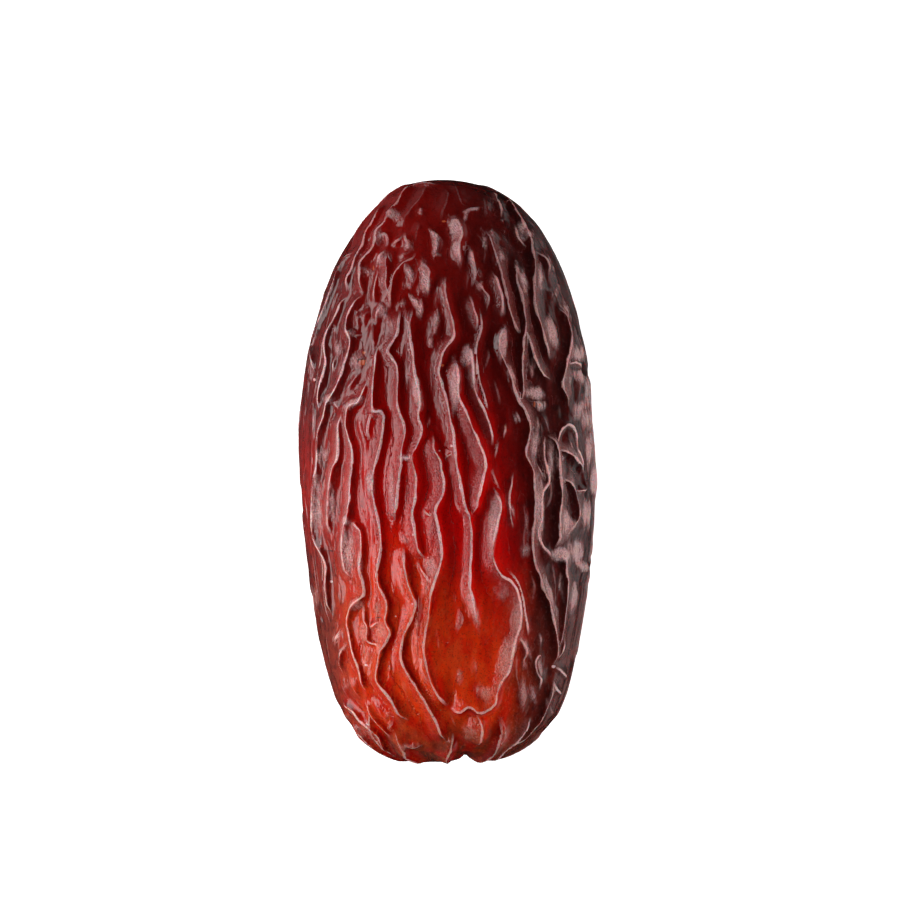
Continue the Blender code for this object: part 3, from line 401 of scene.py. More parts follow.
# Small marks of the upper side: place, half width and half length
PALE_SPOTS = [
    (-9.7, -9.2, 0.1, 0.1), (-6.8, -16.15, 0.12, 0.1), (0.3, 2.1, 0.1, 0.1),
    (-0.7, 1.7, 0.07, 0.06), (-11.1, 7.6, 0.12, 0.12), (8.8, -16.3, 0.16, 0.12),
    (-2.9, -5.3, 0.08, 0.1), (-4.35, -12.1, 0.07, 0.06), (-2.95, -11.05, 0.07, 0.07),
]
EMBER_SPOTS = [
    (-7.1, 9.05, 0.32, 0.26), (-7.0, 9.85, 0.12, 0.12), (-0.35, 20.8, 0.18, 0.08),
    (-0.45, 8.8, 0.12, 0.1), (7.2, 5.55, 0.09, 0.2), (7.65, 5.5, 0.06, 0.12),
    (-6.2, 16.9, 0.06, 0.2), (-0.6, -19.9, 0.1, 0.08),
]
DARK_SPOTS = [
    (-7.2, 9.3, 0.36, 0.07), (-7.5, 9.15, 0.08, 0.15), (-6.85, 8.95, 0.07, 0.2),
    (7.1, 5.9, 0.5, 0.06), (7.1, 5.65, 0.05, 0.25), (7.4, 5.45, 0.05, 0.3),
    (7.95, 5.5, 0.05, 0.3), (8.35, 5.6, 0.07, 0.35), (8.1, 5.88, 0.3, 0.05),
    (-9.75, -6.65, 0.35, 0.05), (-5.75, -12.2, 0.2, 0.05), (9.15, 13.7, 0.05, 0.2),
    (9.0, 5.3, 0.5, 0.25), (9.4, 4.6, 0.3, 0.3),
]

# The stem end's scar, and the groove that shows as a notch in the outline
SCAR = (0.6, 0.3, 2.2, -0.5)
NOTCH = [(1.5, 5.5), (1.5, 3.0), (1.4, 0.5), (1.5, -2.5), (1.7, -5.0)]
NOTCH_STYLE = (0.62, 0.42, 0.42, 0.0)

# Short and faint wrinkles that only this finer skin has
FINE_RIDGES = [
    (FAINT, (-8.0, 10.9), (-7.7, 11.3), (-7.2, 11.5)),
    (FAINT, (-9.6, 5.9), (-9.35, 5.5), (-9.1, 5.2)),
    (SOFT, (-4.95, 18.5), (-4.65, 17.9), (-4.7, 17.3), (-4.9, 16.8)),
    (SOFT, (-6.4, 13.35), (-6.8, 13.2), (-7.0, 12.8), (-7.1, 12.2)),
    (THIN, (-5.2, 13.9), (-5.6, 13.5), (-5.9, 13.0), (-6.0, 12.3)),
    (SOFT, (-6.4, 12.6), (-6.25, 11.4), (-6.25, 10.2), (-6.4, 8.3)),
    (SOFT, (-8.8, 10.6), (-8.75, 9.6), (-9.0, 8.6), (-9.3, 7.6)),
    (THIN, (-6.85, -12.9), (-6.4, -12.85), (-6.0, -12.6), (-5.5, -12.5)),
    (SOFT, (-8.3, -6.0), (-8.15, -8.4)),
    (SOFT, (-7.3, 5.0), (-7.4, 4.0), (-6.9, 2.3), (-6.85, 0.0), (-6.75, -2.0),
     (-6.3, -4.0), (-6.2, -6.0), (-6.05, -9.0), (-6.0, -10.5), (-6.3, -12.0)),
    (THIN, (-6.1, 5.0), (-6.5, 4.4), (-6.65, 3.4), (-6.5, 2.4)),
    (SOFT, (-2.0, -9.4), (-2.15, -11.2), (-2.45, -13.2), (-2.4, -15.2), (-1.9, -17.0),
     (-1.3, -18.3)),
    (SOFT, (-4.1, -7.2), (-3.9, -8.6), (-3.6, -9.8), (-3.1, -11.0)),
    (FAINT, (-8.7, -19.5), (-8.1, -20.0), (-7.3, -20.8)),
    (FAINT, (-4.6, -20.6), (-4.75, -21.2), (-5.0, -21.6)),
    (THIN, (-1.95, -3.0), (-1.7, -3.4), (-1.3, -3.6), (-0.95, -3.4)),
    (THIN, (-2.4, -7.3), (-2.25, -7.9), (-1.8, -8.6), (-1.4, -9.2), (-1.25, -9.9)),
    (SOFT, (-1.4, 4.7), (-1.4, 4.2), (-1.55, 3.7)),
    (FAINT, (0.3, 5.2), (0.8, 5.3), (1.2, 5.4)),
    (SOFT, (3.65, 10.4), (3.6, 9.6), (3.3, 8.4)),
    (SOFT, (4.1, 7.8), (4.35, 6.8), (4.7, 5.4)),
    (FAINT, (5.75, 4.9), (5.95, 4.3), (6.1, 3.9)),
    (THIN, (5.15, 4.0), (5.0, 3.4), (4.95, 2.7)),
    (FAINT, (4.5, 2.6), (4.3, 1.8), (4.2, 1.0)),
    (FAINT, (3.8, 0.4), (4.05, -0.3), (4.35, -1.1), (4.6, -1.7)),
    (SOFT, (-0.5, 16.3), (-0.4, 15.5), (-0.45, 14.6), (-0.1, 13.2)),
    (SOFT, (-0.1, 10.6), (-0.7, 9.9), (-1.1, 8.6), (-0.95, 7.5), (-0.5, 5.5),
     (-0.05, 3.5), (0.0, 2.5)),
    (SOFT, (-3.6, 14.0), (-3.35, 12.5), (-3.35, 11.0), (-3.3, 9.0), (-3.3, 7.0)),
    (SOFT, (1.8, 17.0), (1.85, 16.0), (1.8, 15.0)),
    (FAINT, (1.65, 19.2), (1.5, 18.6), (1.5, 18.0)),
    (FAINT, (0.4, 18.6), (0.9, 18.85)),
    (SOFT, (2.75, 17.0), (2.95, 16.4), (3.1, 16.0)),
    (SOFT, (3.2, 22.9), (3.3, 22.0), (3.35, 21.1)),
    (SOFT, (-2.4, 20.9), (-2.4, 20.2), (-2.7, 19.0)),
    (SOFT, (-2.15, 22.0), (-2.1, 21.5)),
    (FAINT, (-6.8, 19.2), (-6.3, 19.35), (-6.1, 19.3)),
    (THIN, (5.9, 20.6), (5.95, 19.8), (6.3, 19.2), (7.0, 18.7)),
    (SOFT, (5.0, 22.6), (5.5, 21.9)),
    (SOFT, (3.9, 20.1), (3.95, 19.3), (4.1, 18.6)),
    (SOFT, (6.8, 9.1), (6.8, 8.4), (6.7, 7.5)),
    (SOFT, (6.6, 6.1), (7.0, 6.0), (7.6, 5.85), (8.2, 6.1)),
    (SOFT, (8.2, 4.9), (8.5, 4.2), (9.0, 3.0)),
    (FAINT, (7.6, 1.0), (7.8, 0.5), (8.4, -0.8)),
    (SOFT, (7.15, 4.2), (7.35, 3.0), (7.45, 2.0)),
    (SOFT, (8.7, 2.0), (8.75, 0.5), (8.9, -1.8), (8.45, -3.4)),
    (FAINT, (9.5, 0.9), (9.8, 1.05), (10.0, 1.3)),
    (THIN, (10.9, -1.6), (11.4, -1.5), (11.75, -1.35), (11.8, -0.3)),
    (SOFT, (6.75, -2.5), (6.7, -3.5), (6.75, -4.5), (6.6, -5.5), (6.7, -7.0)),
    (SOFT, (7.3, -8.5), (7.45, -9.5), (7.5, -10.3)),
    (FAINT, (8.0, -13.4), (8.15, -14.6)),
    (SOFT, (6.8, -17.6), (7.0, -18.4), (7.35, -19.1)),
    (SOFT, (8.7, -19.2), (8.9, -19.9), (9.05, -20.5)),
    (SOFT, (11.2, 8.5), (11.15, 7.0), (11.3, 6.0)),
    (SOFT, (9.0, 15.2), (8.95, 14.2)),
    (SOFT, (11.0, 11.7), (11.4, 10.8), (11.7, 9.8), (11.8, 8.8)),
    (THIN, (-8.9, -13.0), (-9.3, -13.9), (-9.6, -14.6)),
    (THIN, (-8.5, -14.3), (-8.85, -15.2), (-9.0, -16.2), (-8.8, -17.0)),
    (SOFT, (-10.4, -13.2), (-10.1, -14.6), (-9.9, -16.0), (-9.5, -17.6)),
    (SOFT, (-9.3, -16.6), (-8.8, -17.8), (-8.4, -19.0)),
    (SOFT, (-8.2, -16.6), (-7.9, -17.8), (-7.3, -19.2)),
    (SOFT, (-6.6, -14.8), (-6.9, -16.0), (-6.6, -17.2)),
    (SOFT, (-6.4, -18.6), (-5.8, -19.8), (-5.0, -20.9)),
    (THIN, (-9.3, 9.9), (-9.55, 8.9), (-9.8, 8.0)),
    (SOFT, (-9.2, 13.8), (-9.3, 12.6), (-9.5, 11.4), (-9.4, 10.4)),
    (SOFT, (-7.7, 13.6), (-7.6, 12.6), (-7.5, 11.9)),
    (THIN, (-5.9, 17.3), (-5.6, 17.9), (-5.25, 18.4)),
    (THIN, (-5.9, 19.2), (-5.5, 19.7), (-5.05, 19.6), (-5.0, 19.0), (-5.3, 18.6)),
    (SOFT, (-4.4, 18.0), (-3.5, 18.1), (-2.8, 18.5)),
    (SOFT, (-4.9, 23.0), (-5.6, 22.1), (-6.3, 21.3)),
    (SOFT, (-7.0, 20.6), (-7.7, 19.6), (-8.2, 18.6)),
    (THIN, (7.4, 18.6), (7.0, 19.2), (6.5, 19.3)),
    (FAINT, (0.95, -11.3), (1.4, -12.4), (0.9, -13.4)),
    (SOFT, (0.3, -20.2), (0.65, -20.8), (0.85, -21.3)),
]

# The painted highlight along a crest, partly pale dry skin, in millimetres: its greatest half
# width, how far it lies on the bank's side, how soft its edges are, how near to the crest it
# stays and where it is worn off and thinned. Last, how far the worn and the fine noise shift it
LINE_WIDTH = 0.145
LINE_PLACE = 0.05
LINE_EDGE = (1.0, 0.1)
NEAR_CREST = (0.3, 0.16)
LINE_WORN = (0.12, 0.4)
LINE_THINNED = (0.3, 0.7)
LINE_SHIFT = (0.25, 0.1)

# The painted sheen on a ridge's broad side, where it faces the lights: how it begins at the crest,
# how many times the ridge's spread it reaches, and how full it is. Then the steep side, with
# painted glow of the flesh in the middle and painted shade on the flanks, and the painted shade in
# the crease
# close to the crest: each begins at its side and ends at its edge
BANK_EDGE = (-0.04, 0.06)
BANK_REACH = 1.5
BANK_GAIN = 1.2
BANK_WORN = (0.3, 0.65)
BANK_SHIFT = (0.4, 1.1)
CLEAR_SIDE = (-0.9, -0.3)
CLEAR_EDGE = (0.0, 0.1)
CREASE_SHADE_SIDE = (-0.4, -0.15)
CREASE_SHADE_EDGE = (0.02, 0.14)

# Dry patches, partly painted sheen: how full they are, how soft their edges are, where they end for
# good, and how far the fine and the patchy noise shift them
PATCH_GAIN = 1.5
PATCH_EDGE = (0.55, 1.3)
PATCH_LIMIT = (0.1, 0.4)
PATCH_SHIFT = (0.6, 1.3)

# Noise of the finishes: features a metre, their share along the fruit, detail and roughness
BLOTCH = (260.0, 0.4, 3.0)
STREAK = (1500.0, 0.12, 1.0, 0.6)
FINE = (3200.0, 0.35, 1.0, 0.6)
PORES = (9500.0, 0.8, 0.0)
WORN = (800.0, 0.5, 1.0, 0.6)
PATCHY = (700.0, 0.35, 2.0, 0.65)
MOTTLE = (1900.0, 0.5, 1.0, 0.65)
FLECKS = (4200.0, 0.6, 1.0, 0.7)
SPECKLE = (7000.0, 0.8, 1.0, 0.7)
FLOOR_GRAIN = (30.0,)

# Zones of the skin, in millimetres: how far blotches shift them, where they start and where
# they are full, to the side for the first four and along the fruit for the others
RIGHT_ZONE = (3.0, 4.3, 8.3)
DUSK_ZONE = (3.0, 0.5, 8.0)
LEFT_ZONE = (3.0, 5.5, 10.5)
FAR_RIGHT_ZONE = (2.0, 8.0, 10.5)
# The middle and the lower zone also mark where the painted glow of the flesh shows
MIDDLE_ZONE = (4.0, 11.0, -7.0)
LEFT_GLOW_ZONE = (5.0, 8.0, -2.0)
LOW_ZONE = (5.0, -2.0, -13.0)
BLUNT_ZONE = (3.0, -19.5, -23.0)
HIGH = (5.0, 18.0)

# The right zone's edge bows round this station, the next two lean, and the lower zone begins
# further down on the left
RIGHT_BOW = (-4.0, 0.0045)
DUSK_LEAN = 0.25
FAR_RIGHT_LEAN = 0.12
LOW_DROP = ((-3.0, 2.0), 3.5)

# Small marks: how deep they reach, and how soft and ragged their edges are
SPOT_DEPTH = 2.0
SPOT_EDGE = (1.25, 0.75)
SPOT_RAGGED = 0.8

# The skin's bump and its glossy, light-scattering flesh
BUMP_STRENGTH = 0.9
BUMP_DEPTH = 0.3
SKIN_IOR = 1.46
SKIN_SPECULAR = 0.42
FLESH_SHARE = 0.7
FLESH_RADII = (1.0, 0.08, 0.05)
FLESH_DEPTH = 0.8

# The floor's colours and finish, and the corners of its edge
FLOOR_PALE = (0.9, 0.9, 0.9)
FLOOR_PALEST = (0.93, 0.93, 0.93)
FLOOR_ROUGHNESS = 0.8
FLOOR_CORNERS = 96

# The lights in metres: place and size
LEFT_LIGHT = ((-0.34, 0.02, 0.115), (0.5, 0.21))
RIGHT_LIGHT = ((0.34, 0.0, 0.09), (0.4, 0.12))
FILL_LIGHT = ((-0.05, 0.0, 0.4), (0.3, 0.3))

# The world's glow on the left and on the right: where it begins and is full to the side, where
# it ends and is full above, and its strength. Then where it fades below, and the dim rest
WORLD_LEFT = ((0.0, 0.6), (0.08, -0.12), 0.2)
WORLD_RIGHT = ((0.25, 0.7), (-0.15, -0.5), 0.6)
WORLD_BELOW = (-1.0, -0.5)
WORLD_DIM = 0.01

CLIP_START = 0.01


def colour(name, default, description):
    """A colour that the user can change."""
    return FloatVectorProperty(name=name, subtype="COLOR", size=3, default=default,
                               description=description)


class DateBody(bpy.types.PropertyGroup):
    """How fine the skin's mesh is."""

    cells_across: IntProperty(name="Cells across", default=150, min=20,
                              description="Cells across each side of the body's grid")
    cells_along: IntProperty(name="Cells along", default=244, min=30,
                             description="Cells along the body's grid")
    triangles: IntProperty(name="Triangles", default=196000, min=5000,
                           description="Triangles that the skin keeps")


class DateSkin(bpy.types.PropertyGroup):
    """Colours and finish of the skin, with its painted glow, highlights, sheen and shade."""

    deep: colour("Deep red", (0.16, 0.0006, 0.0006), "Skin of the upper middle")
    # Painted glow: light shining through the flesh brightens the skin of the middle
    flesh: colour("Blood red", (0.62, 0.001, 0.0008),
                  "Skin of the middle, with the flesh shining through")
    # Painted glow of light shining through the flesh of the lower middle
    glow: colour("Glow", (0.80, 0.045, 0.004), "Flesh that shines through the lower middle")
    mauve: colour("Left flank", (0.17, 0.009, 0.009), "Skin of the left flank")
    ruddy: colour("Middle left flank", (0.42, 0.012, 0.008),
                  "Skin of the left flank in the middle")
    tawny: colour("Lower left flank", (0.22, 0.026, 0.014),
                  "Skin of the left flank towards the blunt end")
    brown: colour("Right flank", (0.042, 0.005, 0.0045), "Skin of the right flank")
    rim: colour("Blunt end", (0.18, 0.028, 0.012), "Skin round the blunt end")
    # Painted highlight along the crests, partly pale dry skin; the same colour also paints the pale
    # marks
    crest: colour("Crests", (1.0, 0.68, 0.69), "Thin dry skin along the crests")
    # Painted glow of light shining through the thin flesh beside a crest; the same red also marks
    # clearer flesh at random in the lower middle
    clear: colour("Clear red", (0.6, 0.002, 0.001), "Flesh that shines through beside a crest")
    # Painted sheen on the broad side of a ridge, where it faces the lights; the lower colour also
    # paints the flecks and the patchy mottle of the lower middle
    bank: colour("Banks", (0.40, 0.072, 0.072), "Drier skin on the broad side of a ridge")
    low_bank_sheen_and_mottle: colour("Lower banks", (0.70, 0.072, 0.016), "Banks of the lower half")
    left_bank_sheen: colour("Left banks", (0.85, 0.43, 0.40), "Banks of the middle of the left flank")
    right_bank_sheen: colour("Right banks", (0.47, 0.19, 0.18), "Banks of the right flank")
    # Painted shade in the folds beside a flank's crest; the same colour also darkens the mottle,
    # the speckle and the dark marks
    shade_and_dark_marks: colour("Crevices", (0.025, 0.004, 0.004), "Skin in the folds beside a flank's crest")
    # Painted highlight along the lower crests, partly pale dry skin
    low_crest_highlight: colour("Lower crests", (1.0, 0.60, 0.54), "Thin dry skin along the lower crests")
    ember: colour("Scars", (0.6, 0.13, 0.05), "Healed skin in the scars")
    # Painted highlight along the right crests, partly pale dry skin; it also brightens the painted
    # sheen of the far right banks
    right_crest_highlight: colour("Crests on the right", (1.0, 0.63, 0.62),
                        "Thin dry skin along the right crests")
    roughness: FloatProperty(name="Roughness", default=0.16, min=0.0, max=1.0,
                             description="Roughness of the skin", subtype="FACTOR")


class DateStage(bpy.types.PropertyGroup):
    """Camera, floor and lights."""

    view_width: FloatProperty(name="View width", default=0.075, unit="LENGTH",
                              description="Width that the picture shows at the outline")
    floor_radius: FloatProperty(name="Floor radius", default=1.2, unit="LENGTH",
                                description="Radius of the round floor")
    left_power: FloatProperty(name="Left light", default=1.6, unit="POWER",
                              description="Power of the large light on the left")
    right_power: FloatProperty(name="Right light", default=1.1, unit="POWER",
                               description="Power of the light on the right")
    fill_power: FloatProperty(name="Fill light", default=0.45, unit="POWER",
                              description="Power of the soft light overhead")


class Wire:
    """A node's output that takes part in ordinary arithmetic."""

    def __init__(self, finish, socket):
        self.finish = finish
        self.socket = socket

    def _math(self, operation, first, second=0.0, clamp=False):
        return self.finish.add("Math", {"operation": operation, "use_clamp": clamp},
                               {0: first, 1: second})

    def __add__(self, other):
        return self._math("ADD", self, other)

    __radd__ = __add__

    def __sub__(self, other):
        return self._math("SUBTRACT", self, other)

    def __rsub__(self, other):
        return self._math("SUBTRACT", other, self)

    def __mul__(self, other):
        return self._math("MULTIPLY", self, other)

    __rmul__ = __mul__

    def __truediv__(self, other):
        return self._math("DIVIDE", self, other)

    def __rtruediv__(self, other):
        return self._math("DIVIDE", other, self)

    def clamped(self):
        """The value held between 0 and 1."""
        return self._math("ADD", self, 0.0, clamp=True)

    def step(self, low, high):
        """Smooth step from 0 at low to 1 at high."""
        return self.finish.add("MapRange", {"interpolation_type": "SMOOTHSTEP"},
                               {0: self, 1: low, 2: high})


class Nodes:
    """Nodes of one tree under construction."""

    def __init__(self, tree):
        self.tree = tree

    def feed(self, socket, value):
        """Link a wire to a socket, or set its value."""
        if isinstance(value, Wire):
            self.tree.links.new(value.socket, socket)
        elif socket.type == "RGBA":
            socket.default_value = (*value, 1.0)
        else:
            socket.default_value = value

    def add(self, kind, settings=None, sockets=None, out=0):
        """Add a node with its settings and the values or links of its sockets."""
        node = self.tree.nodes.new("ShaderNode" + kind)
        for key, value in (settings or {}).items():
            setattr(node, key, value)
        for key, value in (sockets or {}).items():
            self.feed(node.inputs[key], value)
        return Wire(self, node.outputs[out])

    def mix(self, factor, first, second):
        """Mix two colours by a factor."""
        return self.add("Mix", {"data_type": "RGBA"}, {0: factor, 6: first, 7: second}, out=2)

    def cover(self, color, layers):
        """Lay one colour after another over a colour, each by its factor."""
        for factor, layer in layers:
            color = self.mix(factor, color, layer)
        return color

    def axes(self, place, scale=1.0):
        """Wires for the three axes of a place."""
        spread = self.add("VectorMath", {"operation": "SCALE"}, {0: place, "Scale": scale})
        node = self.tree.nodes.new("ShaderNodeSeparateXYZ")
        self.feed(node.inputs[0], spread)
        return [Wire(self, socket) for socket in node.outputs]


class Finish(Nodes):
    """A material under construction."""

    def __init__(self, name):
        self.material = bpy.data.materials.new(name)
        self.material.use_nodes = True
        super().__init__(self.material.node_tree)
        self.shader = self.tree.nodes["Principled BSDF"]
        self.place = self.add("TexCoord", out="Object")

    def noise(self, scale, along=1.0, detail=2.0, roughness=0.5):
        """Noise in object space, with its features per metre, fewer or more of them along Y."""
        spread = self.add("VectorMath", {"operation": "MULTIPLY"},
                          {0: self.place, 1: (scale, scale * along, scale)})
        return self.add("TexNoise", {}, {"Vector": spread, "Scale": 1.0, "Detail": detail,
                                         "Roughness": roughness})

    def spots(self, places, ragged):
        """1 inside the small ragged marks at places on the upper side, and 0 outside."""
        inside = 0.0
        for x, y, half_width, half_length in places:
            centre = top_point(x, y) * MM
            reach = (half_width * MM, half_length * MM, SPOT_DEPTH * MM)
            off = self.add("VectorMath", {"operation": "SUBTRACT"},
                           {0: self.place, 1: [float(c) for c in centre]})
            off = self.add("VectorMath", {"operation": "DIVIDE"}, {0: off, 1: reach})
            size = self.add("VectorMath", {"operation": "LENGTH"}, {0: off}, out=1)
            inside = (size + ragged).step(*SPOT_EDGE) + inside
        return inside.clamped()

    def dress(self, sockets):
        """Give the shader's sockets their values or links."""
        for name, value in sockets.items():
            self.feed(self.shader.inputs[name], value)

    def attribute(self, name):
        """A value that the mesh holds at its points."""
        return self.add("Attribute", {"attribute_name": name}, out="Fac")


def girth(y):
    """Share of the full half width that the body has at a place along its length."""
    u = np.clip(np.abs(y) / HALF_LENGTH, 0.0, 1.0)
    tip = (1 - u ** TIP_POWER) ** (1 / TIP_POWER)
    blunt = 1 - BLUNT_TAPER * u ** BLUNT_TAPER_POWER
    blunt = blunt * (1 - u ** BLUNT_POWER) ** (1 / BLUNT_CORNER)
    return np.where(y >= 0, tip, blunt)


def middle(y):
    """How far to the side the body's axis lies, which is slightly bowed."""
    return np.interp(y, *zip(*BOW))


def body_point(angle, y, share=None):
    """Point on the smooth body. The angle runs from the top (0) by the right side."""
    share = girth(y) if share is None else share
    sine, cosine = np.sin(angle), np.cos(angle)
    round_off = np.abs(sine) ** SECTION_POWER + np.abs(cosine) ** SECTION_POWER
    spread = share * round_off ** (-1 / SECTION_POWER)
    return np.stack([middle(y) + HALF_WIDTH * spread * sine, y + 0 * angle,
                     AXIS_HEIGHT + HALF_HEIGHT * spread * cosine], axis=-1)


def lift(x, y, tops=0.0):
    """Point of the upper side that the eye sees at (x, y) in the plane of the axis.

    For the tops of ridges, it is the point of the smooth body under the one that the eye sees.
    """
    eye_x, eye_y, eye_z = EYE
    shrink = HALF_WIDTH / (HALF_WIDTH + tops)
    shorten = HALF_LENGTH / (HALF_LENGTH + tops * END_HEIGHT)
    z = np.full_like(x, AXIS_HEIGHT + HALF_HEIGHT / 2)
    for _ in range(SIGHT_ROUNDS):
        nearer = (eye_z - z) / (eye_z - AXIS_HEIGHT)
        along = (eye_y + (y - eye_y) * nearer) * shorten
        along = np.clip(along, END_MARGIN - HALF_LENGTH, HALF_LENGTH - END_MARGIN)
        half = HALF_WIDTH * girth(along)
        side = (eye_x + (x - eye_x) * nearer - middle(along)) * shrink / half
        side = np.clip(side, -WIDEST_SIGHT, WIDEST_SIGHT)
        z = (1 - np.abs(side) ** SECTION_POWER) ** (1 / SECTION_POWER)
        z = AXIS_HEIGHT + HALF_HEIGHT * girth(along) * z
    return np.stack([middle(along) + half * side, along, z], axis=-1)


def top_point(x, y):
    """One point of the upper side, from its place in the plane of the axis."""
    return lift(np.array([x]), np.array([y]))[0]


def end_point(angle, share, end):
    """Point on an end's face, by its angle round the axis and its share of the width."""
    stations = end * np.linspace(HALF_LENGTH, 0.0, STATIONS)
    return body_point(angle, np.interp(share, girth(stations), stations), share)


def blunt_point(x, z):
    """Point on the blunt end, from its place as seen along the axis."""
    x, z = x / HALF_WIDTH, z / HALF_HEIGHT
    return end_point(np.arctan2(x, z), np.hypot(x, z), -1)


def smooth_line(points):
    """Points closely spaced on a smooth curve through the given points."""
    points = np.array(points, dtype=float)
    before = 2 * points[0] - points[1]
    after = 2 * points[-1] - points[-2]
    knots = np.vstack([before, points, after])
    line = []
    for p, q, r, s in zip(knots, knots[1:], knots[2:], knots[3:]):
        for t in np.arange(STEPS_PER_SPAN) / STEPS_PER_SPAN:
            bend = (2 * p - 5 * q + 4 * r - s) * t + (3 * q - p - 3 * r + s) * t * t
            line.append(q + 0.5 * t * (r - p + bend))
    line.append(points[-1])
    return np.array(line)


def fade(value):
    """Smooth step from 0 to 1."""
    value = np.clip(value, 0.0, 1.0)
    return value * value * (3 - 2 * value)


def ridge(points, normals, line, style):
    """Which points are near a ridge's line, with its height, distance and fade there.

    The distance is above zero on the ridge's broad side and below zero on its steep side.
    """
    height, left, right, _ = style
    reach = REACH * max(left, right)
    inside = (points > line.min(axis=0) - reach) & (points < line.max(axis=0) + reach)
    near = np.flatnonzero(inside.all(axis=1))
    start, step = line[:-1], np.diff(line, axis=0)
    length = np.linalg.norm(step, axis=1)
    offset = points[near, None] - start[None]
    t = np.clip(np.einsum("ijk,jk->ij", offset, step) / length ** 2, 0.0, 1.0)
    offset -= t[..., None] * step[None]
    distance = np.linalg.norm(offset, axis=2)
    rows = np.arange(len(near))
    best = distance.argmin(axis=1)
    offset, distance = offset[rows, best], distance[rows, best]
    side = np.einsum("ij,ij->i", np.cross(step[best], normals[near]), offset)
    spread = np.where(side > 0, left, right)
    along = np.concatenate([[0.0], np.cumsum(length)])[best] + t[rows, best] * length[best]
    to_end = np.minimum(along, length.sum() - along) / min(END_FADE, length.sum() / 2)
    crest = np.exp((CREST_ROUND - np.hypot(distance, CREST_ROUND)) / spread)
    ends = END_HEIGHT + (1 - END_HEIGHT) * fade(to_end)
    across = np.where((side > 0) == (left >= right), distance, -distance)
    return near, height * crest * ends, across, fade(to_end)


def broken_line(rng, ends, gap):
    """Stations and end of each piece that a long wrinkle breaks into, from the tip down."""
    y = ends[0] - rng.uniform(0.0, UNDER_START)
    while y > ends[1] + 3 * UNDER_STEP:
        end = max(ends[1], y - rng.uniform(*UNDER_PIECE))
        yield np.arange(y, end, -UNDER_STEP), end
        y = end - rng.uniform(*gap)


def underside_ridges(rng):
    """Lines and styles of the ridges that wander along the flanks and the underside."""
    pitch = (UNDER_TO - UNDER_FROM) / UNDER_LINES
    ridges = []
    for number in range(UNDER_LINES):
        angle = math.radians(UNDER_FROM + pitch * (number + 0.5))
        for places, end in broken_line(rng, UNDER_ENDS, UNDER_GAP):
            turns = [rng.uniform(0.0, 2 * math.pi) for _ in UNDER_WAVES]
            drift = rng.uniform(-UNDER_DRIFT, UNDER_DRIFT)
            wander = sum(share * np.sin(places / length + turn)
                         for (length, share), turn in zip(UNDER_WAVES, turns))
            slide = drift * (places[0] - places) / (places[0] - end)
            turned = angle + (UNDER_WANDER * wander + slide) / HALF_WIDTH
            style = rng.choice([THIN, LEFT, RIGHT, LEFT_WIDE, RIGHT_WIDE, SOFT])
            ridges.append((smooth_line(body_point(turned, places)), style))
    return ridges


def rim_ridges(rng):
    """Fine lines, close together, that follow the outline down the left flank."""
    ridges = []
    for degrees in np.linspace(*RIM_ANGLES, RIM_LINES):
        for places, _ in broken_line(rng, RIM_ENDS, RIM_GAP):
            wander = [rng.uniform(-RIM_WANDER, RIM_WANDER) for _ in places]
            turned = math.radians(degrees) + np.array(wander) / HALF_WIDTH
            ridges.append((smooth_line(body_point(turned, places)), RIM_STYLE))
    return ridges


def end_ridges(rng):
    """Lines and styles of the puckers that run in towards the middle of both ends."""
    ridges = []
    for end, shares in ((1, TIP_SHARES), (-1, BLUNT_SHARES)):
        for number in range(END_LINES):
            degrees = 360 * (number + rng.uniform(-END_JITTER, END_JITTER)) / END_LINES
            start, stop = [share + rng.uniform(0.0, wider)
                           for share, wider in zip(shares, SHARE_RANGES)]
            share = np.linspace(start, stop, END_POINTS)
            turned = math.radians(degrees) + END_TURN * np.cumsum(
                [rng.uniform(-1.0, 1.0) for _ in share])
            style = rng.choice([THIN, LEFT, RIGHT, SOFT])
            if end < 0 or TIP_ANGLES[0] < degrees < TIP_ANGLES[1]:
                ridges.append((smooth_line(end_point(turned, share, end)), style))
    return ridges


def grain(points):
    """Height of the shallow creases: many faint waves that run along the fruit."""
    rng = random.Random(GRAIN_SEED)
    angle = np.arctan2(points[:, 0], points[:, 2] - AXIS_HEIGHT)
    total = np.zeros(len(points))
    for across, along, height in (CREASES, GRAIN):
        for _ in range(GRAIN_WAVES):
            phase = rng.randint(*across) * angle + rng.gauss(0.0, along) * points[:, 1]
            total += np.sin(phase + rng.uniform(0, 2 * math.pi)) * height / GRAIN_SPREAD
    return total * girth(points[:, 1]) ** 2


def dry_and_sheen_patches(points):
    """How dry the skin is at each point, where sheen is also painted: 1 in the middle of a patch
    and 0 at its edge.
    """
    dry = np.zeros(len(points))
    for x, y, half_width, half_length, lean, strength in PATCHES:
        x, y, _ = top_point(x, y)
        lean = math.radians(lean)
        along = (points[:, 1] - y) * math.cos(lean) + (points[:, 0] - x) * math.sin(lean)
        across = (points[:, 0] - x) * math.cos(lean) - (points[:, 1] - y) * math.sin(lean)
        off = np.hypot(across / half_width, along / half_length)
        near = (points[:, 2] > AXIS_HEIGHT) & (off < PATCH_REACH)
        amount = strength * (1 - off[near] / PATCH_REACH)
        dry[near] = np.maximum(dry[near], amount) if strength > 0 else dry[near] + amount
    return dry


def swell(points, centre, radius, height):
    """Height of a broad swell or hollow round its centre."""
    return height * np.exp(-(np.linalg.norm(points - centre, axis=1) / radius) ** 2)


